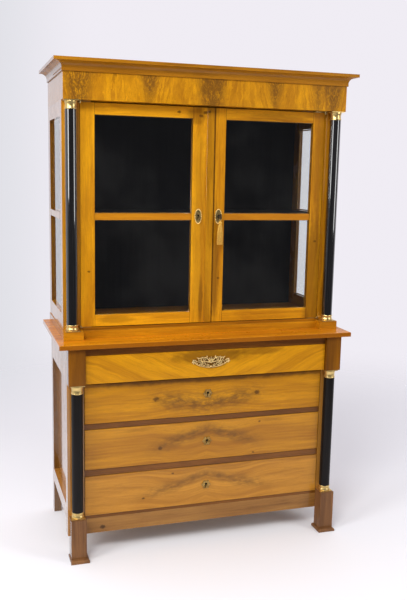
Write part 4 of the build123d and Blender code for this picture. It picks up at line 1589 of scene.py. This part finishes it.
@dataclass
class Tassel:
    """The silk tassel on the key.

    Attributes:
        strands: Number of threads in one layer of the skirt.
        layers: Number of layers.
        waist_share: Height of the skirt's top, as a share of the whole.
        thread: Radius of a skirt thread.
        cord: Radius of the wraps and of the head's threads.
        loop: Radius of the loop's cord.
        head_strands: Number of threads in the head.
        wraps: Number of turns round the waist.
        seed: Start of its random draws.
    """

    strands: int = 44
    layers: int = 3
    waist_share: float = 0.78
    thread: float = 0.62 * MM
    cord: float = 0.9 * MM
    loop: float = 0.75 * MM
    head_strands: int = 24
    wraps: int = 5
    seed: int = 7

    def __post_init__(self) -> None:
        """Read the place and the size from the CAD node."""
        low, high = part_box("tassel")
        self.x, self.y, _ = middle_of(low, high)
        self.foot = low[2]
        self.top = high[2]
        self.skirt = (high[0] - low[0]) / 2
        self.waist = self.foot + (self.top - self.foot) * self.waist_share

    def skirt_threads(self) -> list[Strand]:
        """Hang the threads of the skirt.

        Returns:
            Their lines.
        """
        draw = random.Random(self.seed)
        outline = ((0.0, 0.55), (0.2, 0.8), (0.6, 0.92), (1.0, 1.0))
        uneven = 2.5
        twist = 0.12
        threads = []
        for layer in range(self.layers):
            for index in range(self.strands):
                angle = math.tau * (index + 0.5 * layer) / self.strands + draw.uniform(-0.06, 0.06)
                spread = self.skirt * (0.93 - 0.2 * layer) * draw.uniform(0.93, 1.0)
                end = self.foot + draw.uniform(0.0, uneven) * MM
                points = []
                for share, out in outline:
                    away = spread * out
                    turn = angle + twist * math.sin(share * 5 + index)
                    points.append((self.x + away * math.cos(turn), self.y + away * math.sin(turn),
                                   self.waist + (end - self.waist) * share))
                threads.append(Strand(tuple(points), (1.0, 1.0, 0.95, 0.7)))
        return threads

    def wrap_threads(self) -> list[Strand]:
        """Wind the wraps round the waist.

        Returns:
            Their lines.
        """
        lines = []
        for step in range(self.wraps):
            level = self.waist - 1.0 * MM + step * 1.5 * MM
            size = self.skirt * (0.42 if step < 3 else 0.36)
            lines.append(circle((self.x, self.y, level), size, size, 12, upright=False))
        return lines

    def head(self) -> list[Strand]:
        """Gather the threads of the head.

        Returns:
            Their lines.
        """
        start, height = 5 * MM, 13 * MM
        lines = []
        for index in range(self.head_strands):
            angle = math.tau * index / self.head_strands
            points = []
            for share, out in ((0.0, 0.34), (0.3, 0.52), (0.65, 0.5), (1.0, 0.12)):
                away = self.skirt * out
                points.append((self.x + away * math.cos(angle), self.y + away * math.sin(angle),
                               self.waist + start + share * height))
            lines.append(Strand(tuple(points)))
        return lines

    def loop_line(self) -> Strand:
        """Lead the loop through the key's bow.

        Returns:
            Its line.
        """
        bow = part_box("key")[0][2]
        neck = self.waist + 21 * MM
        run = ((0.0, self.waist + 16 * MM), (-1.4, neck), (-2.6, bow - 1 * MM), (-2.4, bow + 3.5 * MM),
               (0.0, bow + 5.5 * MM), (2.4, bow + 3.5 * MM), (2.6, bow - 1 * MM), (1.4, neck))
        return Strand(tuple((self.x + across * MM, self.y, level) for across, level in run), closed=True)

    def build(self) -> None:
        """Build the cord loop, the head and the skirt."""
        parts = [
            bundle("tassel_threads", self.skirt_threads(), self.thread, 0),
            bundle("tassel_wraps", self.wrap_threads(), self.cord, 1),
            bundle("tassel_head", self.head(), self.cord, 0),
            bundle("tassel_loop", [self.loop_line()], self.loop, 1),
        ]
        finish_piece(join("tassel_silk_piece", parts), TASSEL_SILK, "tassel", "silk", "tassel")


@dataclass
class GlazingBeads:
    """The rounded strips that hold the panes from inside.

    Attributes:
        radius: Radius of a strip.
        middle_bar: Low and high edge of the doors' glazing bar.
        side_openings: Low and high edges of the side lights, one below the other.
        side_face: Inner face of the side panes, as a half width.
        timber: Their finish.
    """

    radius: float = 4.0 * MM
    middle_bar: tuple[float, float] = (1.457, 1.485)
    side_openings: tuple[tuple[float, float], ...] = ((1.057, 1.455), (1.483, 1.879))
    side_face: float = 0.6122
    timber: Wood = Wood("bead_wood", (0.56, 0.27, 0.05), (0.3, 0.12, 0.02), Grain.ALONG_Z, gloss=0.42,
                        polish=0.3)

    def around(self, low: Point, high: Point, flat_axis: int, level: float, inset: float) -> Strand:
        """Lay a strip round a pane.

        Args:
            low: The opening's lowest corner.
            high: The opening's highest corner.
            flat_axis: The axis across the pane's thickness.
            level: The strip's place on that axis.
            inset: How far inside the corners it runs.

        Returns:
            Its line.
        """
        run = 1 if flat_axis == 0 else 0
        corners = []
        for a, b in ((0, 0), (1, 0), (1, 1), (0, 1)):
            point = [0.0, 0.0, 0.0]
            point[flat_axis] = level
            point[run] = (high[run] - inset) if a else (low[run] + inset)
            point[2] = (high[2] - inset) if b else (low[2] + inset)
            corners.append(tuple(point))
        return Strand(tuple(corners), closed=True, smooth=False)

    def build(self) -> None:
        """Build the strips of the doors and of the side lights."""
        lap = 5 * MM
        for side in ("left", "right"):
            low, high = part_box(f"door_panes_{side}")
            level = high[1] + self.radius + 0.5 * MM
            inset = self.radius + 1 * MM
            lower_top = (high[0], high[1], self.middle_bar[0] + lap)
            upper_foot = (low[0], low[1], self.middle_bar[1] - lap)
            lines = [self.around(low, lower_top, 1, level, inset),
                     self.around(upper_foot, high, 1, level, inset)]
            piece = bundle(f"door_beads_{side}", lines, self.radius)
            finish_piece(piece, self.timber, f"door_{side}", "polished_wood")
        run = (at(404), at(60))
        gap = 0.4 * MM
        for side, sign in (("left", -1), ("right", 1)):
            level = sign * (self.side_face - self.radius - gap)
            lines = [self.around((level, run[0], foot), (level, run[1], top), 0, level, self.radius + gap)
                     for foot, top in self.side_openings]
            piece = bundle(f"side_beads_{side}", lines, self.radius)
            finish_piece(piece, self.timber, "case", "polished_wood")


@dataclass
class Cabinet:
    """Dresses the CAD nodes.

    Attributes:
        honey: Pale colour of the right door, with honey_deep for its dark bands.
        amber: Pale colour of the flanks and the plinth, with amber_deep.
        tan: Pale colour of the chest's side frames, with tan_deep.
        brown: Pale colour of the corner blocks, with brown_deep.
        door_bar: Low and high edge of the doors' glazing bar.
    """

    honey: Colour = (0.84, 0.375, 0.006)
    honey_deep: Colour = (0.42, 0.145, 0.003)
    amber: Colour = (0.66, 0.275, 0.006)
    amber_deep: Colour = (0.33, 0.11, 0.003)
    tan: Colour = (0.56, 0.255, 0.045)
    tan_deep: Colour = (0.33, 0.13, 0.02)
    brown: Colour = (0.27, 0.094, 0.003)
    brown_deep: Colour = (0.13, 0.042, 0.002)
    door_bar: tuple[float, float] = (1.456, 1.486)

    def case(self) -> None:
        """Dress the chest's case."""
        Wood("slab_wood", (0.80, 0.30, 0.006), (0.44, 0.125, 0.004), Grain.ALONG_X, shift=0.4, gloss=0.3,
             worn_edge=0.8, front_shade=0.85).dress("chest_top")
        side = dict(cross=(at(475), at(45)), cross_grain=Grain.ALONG_Y, cross_axis=1, gloss=0.26, polish=0.85)
        for name, shift in (("left", 1.1), ("right", 2.3)):
            Wood(f"chest_side_wood_{name}", self.tan, self.tan_deep, Grain.ALONG_Z, shift=shift,
                 **side).dress(f"chest_side_frame_{name}")
            Wood(f"chest_panel_wood_{name}", self.amber, self.amber_deep, Grain.ALONG_Z, shift=shift + 0.7,
                 gloss=0.22, polish=0.9).dress(f"chest_side_panel_{name}")
        Wood("apron_wood", (0.38, 0.18, 0.04), (0.22, 0.09, 0.02), Grain.ALONG_X, shift=3.3,
             knots=((-0.47, 0.12, 0.012),)).dress("chest_apron")
        Wood("block_wood", self.brown, self.brown_deep, Grain.ALONG_Z, shift=0.2).dress("corner_blocks")
        # The rails' dark brown is partly painted shade, for the shade under the slab and between the drawers.
        Wood("rail_wood", (0.21, 0.072, 0.007), (0.11, 0.036, 0.004), Grain.ALONG_X, shift=0.9,
             worn_edge=0.9).dress("drawer_rails")
        Wood("foot_wood", (0.26, 0.115, 0.04), (0.12, 0.05, 0.018), Grain.ALONG_Z, shift=5.1,
             polish=0.15).dress("front_feet")
        bare = Wood("bare_wood", (0.42, 0.27, 0.13), (0.27, 0.15, 0.065), Grain.ALONG_X, gloss=0.62, polish=0.0,
                    worn_edge=0.1)
        bare.dress("drawer_runners", "drawer_tray_1", "drawer_tray_2", "drawer_tray_3", "drawer_tray_4",
                   "cabinet_top_board")
        DARK_BOARDS.dress("chest_back_panel", "cabinet_back_panel", "shelf", "shelf_battens")

    def drawers(self) -> None:
        """Dress the drawer fronts."""
        Wood("drawer_1_veneer", (0.78, 0.35, 0.004), (0.42, 0.155, 0.003), figure=Figure.CHEVRON, centre=0.899,
             reach=0.3, figure_depth=0.55, shift=0.3,
             # Dark patches: the first, behind the mount, is dirt and painted drop shadow of the mount; the
             # second deepens the figure's fan; the third darkens a band near the top edge.
             dirt_and_shade_patches=((0.0, 0.846, 0.085, 0.03, 0.95), (0.0, 0.872, 0.2, 0.04, 0.65),
                      (0.22, 0.885, 0.14, 0.02, 0.5))).dress("drawer_front_1")
        Wood("drawer_2_veneer", (0.68, 0.295, 0.004), (0.37, 0.135, 0.003), figure=Figure.ARCH, centre=0.645,
             fall=-0.16, thick=0.045, reach=0.27, figure_depth=0.85,
             knots=((-0.235, 0.684, 0.014), (0.235, 0.684, 0.014)),
             # The wide dark patch along the top edge is painted shadow cast by the overhanging top drawer.
             dirt_and_shade_patches=((0.0, 0.776, 0.9, 0.032, 0.8),), shift=1.3).dress("drawer_front_2")
        Wood("drawer_3_veneer", (0.58, 0.25, 0.012), (0.35, 0.13, 0.008), figure=Figure.ARCH, centre=0.528,
             fall=0.28, reach=0.27, figure_depth=0.8,
             knots=((-0.215, 0.458, 0.011), (0.252, 0.545, 0.006), (0.225, 0.4, 0.006)),
             shift=2.6).dress("drawer_front_3")
        Wood("drawer_4_veneer", (0.62, 0.275, 0.028), (0.38, 0.15, 0.015), figure=Figure.ARCH, centre=0.318,
             fall=0.27, thick=0.024, reach=0.31, figure_depth=0.72,
             knots=((-0.155, 0.335, 0.006), (-0.29, 0.232, 0.007)),
             shift=4.2).dress("drawer_front_4")

    def cabinet(self) -> None:
        """Dress the glazed cabinet."""
        Wood("plinth_wood", self.amber, self.amber_deep, Grain.ALONG_X, shift=0.6).dress("plinth_frame")
        Wood("plinth_block_wood", self.amber, self.amber_deep, Grain.ALONG_X,
             shift=0.8).dress("plinth_blocks")
        side = dict(cross=(at(404), at(60)), cross_grain=Grain.ALONG_Y, cross_axis=1, gloss=0.24, polish=0.9)
        for name, shift in (("left", 1.7), ("right", 2.9)):
            Wood(f"cabinet_side_wood_{name}", self.amber, self.amber_deep, Grain.ALONG_Z, shift=shift,
                 **side).dress(f"cabinet_side_frame_{name}")
        Wood("frieze_veneer", (0.74, 0.325, 0.005), (0.38, 0.14, 0.004), Grain.ALONG_Z, figure=Figure.PLUME,
             centre=1.941, figure_depth=0.85, shift=0.1, streak=0.6, warp=0.06, blotch=0.6,
             plumes=((-0.565, 0.03, 0.22), (-0.27, 0.0, 0.3), (0.0, 0.035, 0.18), (0.285, 0.0, 0.28),
                     (0.49, 0.0, 0.12), (0.56, 0.015, 0.3))).dress("frieze")
        Wood("cornice_wood", (0.44, 0.175, 0.006), (0.25, 0.085, 0.003), Grain.ALONG_X, shift=1.9,
             worn_edge=0.7).dress("cornice")
        # The left door is the right door's honey made brighter, as painted light for the stronger light from
        # the left.
        Wood("door_wood_left", (0.94, 0.43, 0.008), (0.5, 0.18, 0.004), Grain.ALONG_Z, cross=(-0.490, -0.068),
             cross_grain=Grain.ALONG_X, shift=0.5, warp=0.09, blotch=0.45, bars=self.door_bar,
             knots=((-0.13, 1.913, 0.008), (-0.012, 1.915, 0.01), (-0.032, 1.9, 0.009), (-0.515, 1.24, 0.006)),
             # Dark patches: the first two darken the meeting stile, the third the bottom rail; the last, on the
             # top rail, is painted shadow of the frieze's overhang.
             dirt_and_shade_patches=((-0.03, 1.4, 0.04, 0.62, 0.3), (-0.02, 1.1, 0.012, 0.12, 0.6),
                      (-0.4, 1.03, 0.09, 0.02, 0.4),
                      (-0.05, 1.9, 0.05, 0.045, 0.5))).dress("door_frame_left")
        Wood("door_wood_right", self.honey, self.honey_deep, Grain.ALONG_Z, cross=(0.082, 0.494),
             cross_grain=Grain.ALONG_X, shift=3.5, warp=0.09, blotch=0.6, bars=self.door_bar,
             knots=((0.525, 1.36, 0.007), (0.06, 1.2, 0.006)),
             # Dark patches: the first is painted shadow beside the proud meeting strip; the second and fourth
             # are painted shade on the outer stile, away from the light; the third darkens the meeting stile;
             # the last is painted shadow of the frieze's overhang on the top rail.
             dirt_and_shade_patches=((0.0325, 1.47, 0.0045, 0.9, 0.9), (0.52, 1.15, 0.05, 0.4, 0.6),
                      (0.045, 1.25, 0.02, 0.3, 0.55), (0.53, 1.7, 0.04, 0.25, 0.35),
                      (0.3, 1.9, 0.16, 0.03, 0.35))).dress("door_frame_right")
        Wood("strip_wood", (0.6, 0.26, 0.004), (0.3, 0.115, 0.002), Grain.ALONG_Z, shift=6.2, blotch=0.7,
             knots=((0.004, 1.918, 0.007),)).dress("meeting_strip")
        Wood("floor_wood", (0.46, 0.17, 0.004), (0.24, 0.08, 0.002), Grain.ALONG_X,
             shift=7.7).dress("cabinet_floor")
        CLEAR.dress("side_panes", "door_panes_left", "door_panes_right")

    def fittings(self) -> None:
        """Dress the columns and the metal parts."""
        BLACK_SATIN.dress("lower_column_left", "lower_column_right")
        BLACK_GLOSS.dress("upper_column_left", "upper_column_right")
        GILT.dress("column_capitals", "column_bases")
        LOCK_BRASS.dress("hinge_plates", "hinge_pivots_left", "hinge_pivots_right", "door_lock", "lock_bolt",
                         "shoot_bolt_top", "shoot_bolt_bottom")
        IRON.dress("drawer_bolt_2", "drawer_bolt_3", "drawer_bolt_4")
        KEY_METAL.dress("key")

    def build(self) -> None:
        """Dress every node."""
        self.case()
        self.drawers()
        self.cabinet()
        self.fittings()


@dataclass
class Studio:
    """The camera, the floor and the light.

    Attributes:
        camera_place: Where the camera stands.
        yaw: Its turn to the right.
        pitch: Its tilt upward.
        roll: Its turn about its own axis.
        lens: Focal length in millimetres.
        film: Height of the film in millimetres.
        floor_size: Width of the floor.
        haze: Bright colour of the backdrop.
        softboxes: Name, place, aim, size and power of each light.
    """

    camera_place: Point = (-1.0564, -3.4252, 1.6718)
    yaw: float = math.radians(17.80)
    pitch: float = math.radians(-9.395)
    roll: float = math.radians(1.172)
    lens: float = 47.05
    film: float = 36.0
    floor_size: float = 12.0
    haze: Colour = (0.871, 0.843, 0.904)
    softboxes: tuple[tuple[str, Point, Point, tuple[float, float], float], ...] = (
        ("key_softbox", (-2.0, -3.1, 3.9), (0.0, -0.2, 1.2), (1.4, 1.4), 104.0),
        ("left_strip", (-3.2, -1.6, 2.65), (0.0, -0.2, 1.5), (1.1, 2.6), 62.0),
        ("right_strip", (3.0, -2.9, 2.4), (0.0, -0.2, 1.5), (1.3, 2.6), 58.0),
    )

    def camera(self) -> None:
        """Set the camera up."""
        data = bpy.data.cameras.new("camera")
        data.sensor_fit = "VERTICAL"
        data.sensor_height = self.film
        data.lens = self.lens
        data.clip_end = 50.0
        made = bpy.data.objects.new("camera", data)
        bpy.context.collection.objects.link(made)
        level = math.cos(self.pitch)
        forward = Vector((math.sin(self.yaw) * level, math.cos(self.yaw) * level, math.sin(self.pitch)))
        right = Vector((math.cos(self.yaw), -math.sin(self.yaw), 0.0))
        up = right.cross(forward)
        across = right * math.cos(self.roll) + up * math.sin(self.roll)
        above = up * math.cos(self.roll) - right * math.sin(self.roll)
        turn = Matrix((across, above, -forward)).transposed()
        made.matrix_world = Matrix.Translation(self.camera_place) @ turn.to_4x4()
        bpy.context.scene.camera = made

    def floor(self) -> None:
        """Lay the floor."""
        deselect()
        bpy.ops.mesh.primitive_plane_add(size=self.floor_size, location=(0.0, 0.0, -0.2 * MM))
        plane = active("floor")
        made = bpy.data.materials.new("floor_paper")
        made.use_nodes = True
        made.node_tree.nodes.clear()
        graph = Graph(made.node_tree)
        paper = graph.node("ShaderNodeBsdfDiffuse")
        graph.feed(paper.inputs["Color"], (0.90, 0.90, 0.92, 1.0))
        clear = graph.node("ShaderNodeBsdfTransparent")
        x, y, _ = graph.split(graph.node("ShaderNodeTexCoord").outputs["Object"])
        away = graph.far(x, y)
        joined = graph.node("ShaderNodeMixShader")
        graph.feed(joined.inputs[0], graph.rise(away, 1.2, 4.2))
        graph.feed(joined.inputs[1], paper.outputs[0])
        graph.feed(joined.inputs[2], clear.outputs[0])
        output = graph.node("ShaderNodeOutputMaterial")
        graph.feed(output.inputs["Surface"], joined.outputs[0])
        plane.data.materials.append(made)

    def softbox(self, name: str, place: Point, aim: Point, size: tuple[float, float], power: float) -> None:
        """Hang a softbox.

        Args:
            name: Its name.
            place: Where it hangs.
            aim: What it points at.
            size: Its width and height.
            power: Its power in watts.
        """
        data = bpy.data.lights.new(name, "AREA")
        data.shape = "RECTANGLE"
        data.size, data.size_y = size
        data.energy = power
        made = bpy.data.objects.new(name, data)
        made.location = place
        made.rotation_euler = (Vector(aim) - Vector(place)).to_track_quat("-Z", "Y").to_euler()
        bpy.context.collection.objects.link(made)

    def surround(self) -> None:
        """Make a pale surround that is dark on the side the piece faces."""
        world = bpy.data.worlds.new("surround")
        world.use_nodes = True
        world.node_tree.nodes.clear()
        graph = Graph(world.node_tree)
        way = graph.node("ShaderNodeTexCoord").outputs["Generated"]
        x, y, z = graph.split(way)
        behind = graph.rise(y, -0.45, 0.15)
        above = graph.rise(z, 0.35, 0.9)
        lit = graph.math("MAXIMUM", behind, graph.times(above, 0.6))
        paper = graph.blend(graph.rise(x, -0.25, 0.05), (0.76, 0.765, 0.81), self.haze)
        paper = graph.blend(graph.rise(z, 0.0, 0.22), paper, self.haze)
        room = graph.blend(graph.rise(graph.noise(way, 9.0, 4.0, 0.6), 0.5, 0.7), (0.085, 0.085, 0.094),
                           (0.19, 0.185, 0.19))
        seen = graph.node("ShaderNodeLightPath").outputs["Is Camera Ray"]
        wall = graph.blend(graph.rise(x, 0.02, 0.17), (0.735, 0.74, 0.785), self.haze)
        colour = graph.blend(seen, graph.blend(lit, room, paper), wall)
        light = graph.node("ShaderNodeBackground")
        graph.feed(light.inputs["Color"], colour)
        graph.feed(light.inputs["Strength"], 1.0)
        output = graph.node("ShaderNodeOutputWorld")
        graph.feed(output.inputs["Surface"], light.outputs[0])
        bpy.context.scene.world = world

    def build(self) -> None:
        """Set everything up."""
        self.camera()
        self.floor()
        self.surround()
        for light in self.softboxes:
            self.softbox(*light)
        bpy.context.scene.view_settings.view_transform = "Standard"


def main() -> None:
    """Build the scene in order."""
    Studio().build()
    Cabinet().build()
    FriezeMount().build()
    Rosettes().build()
    Escutcheons().build()
    Tassel().build()
    GlazingBeads().build()


if __name__ == "__main__":
    main()
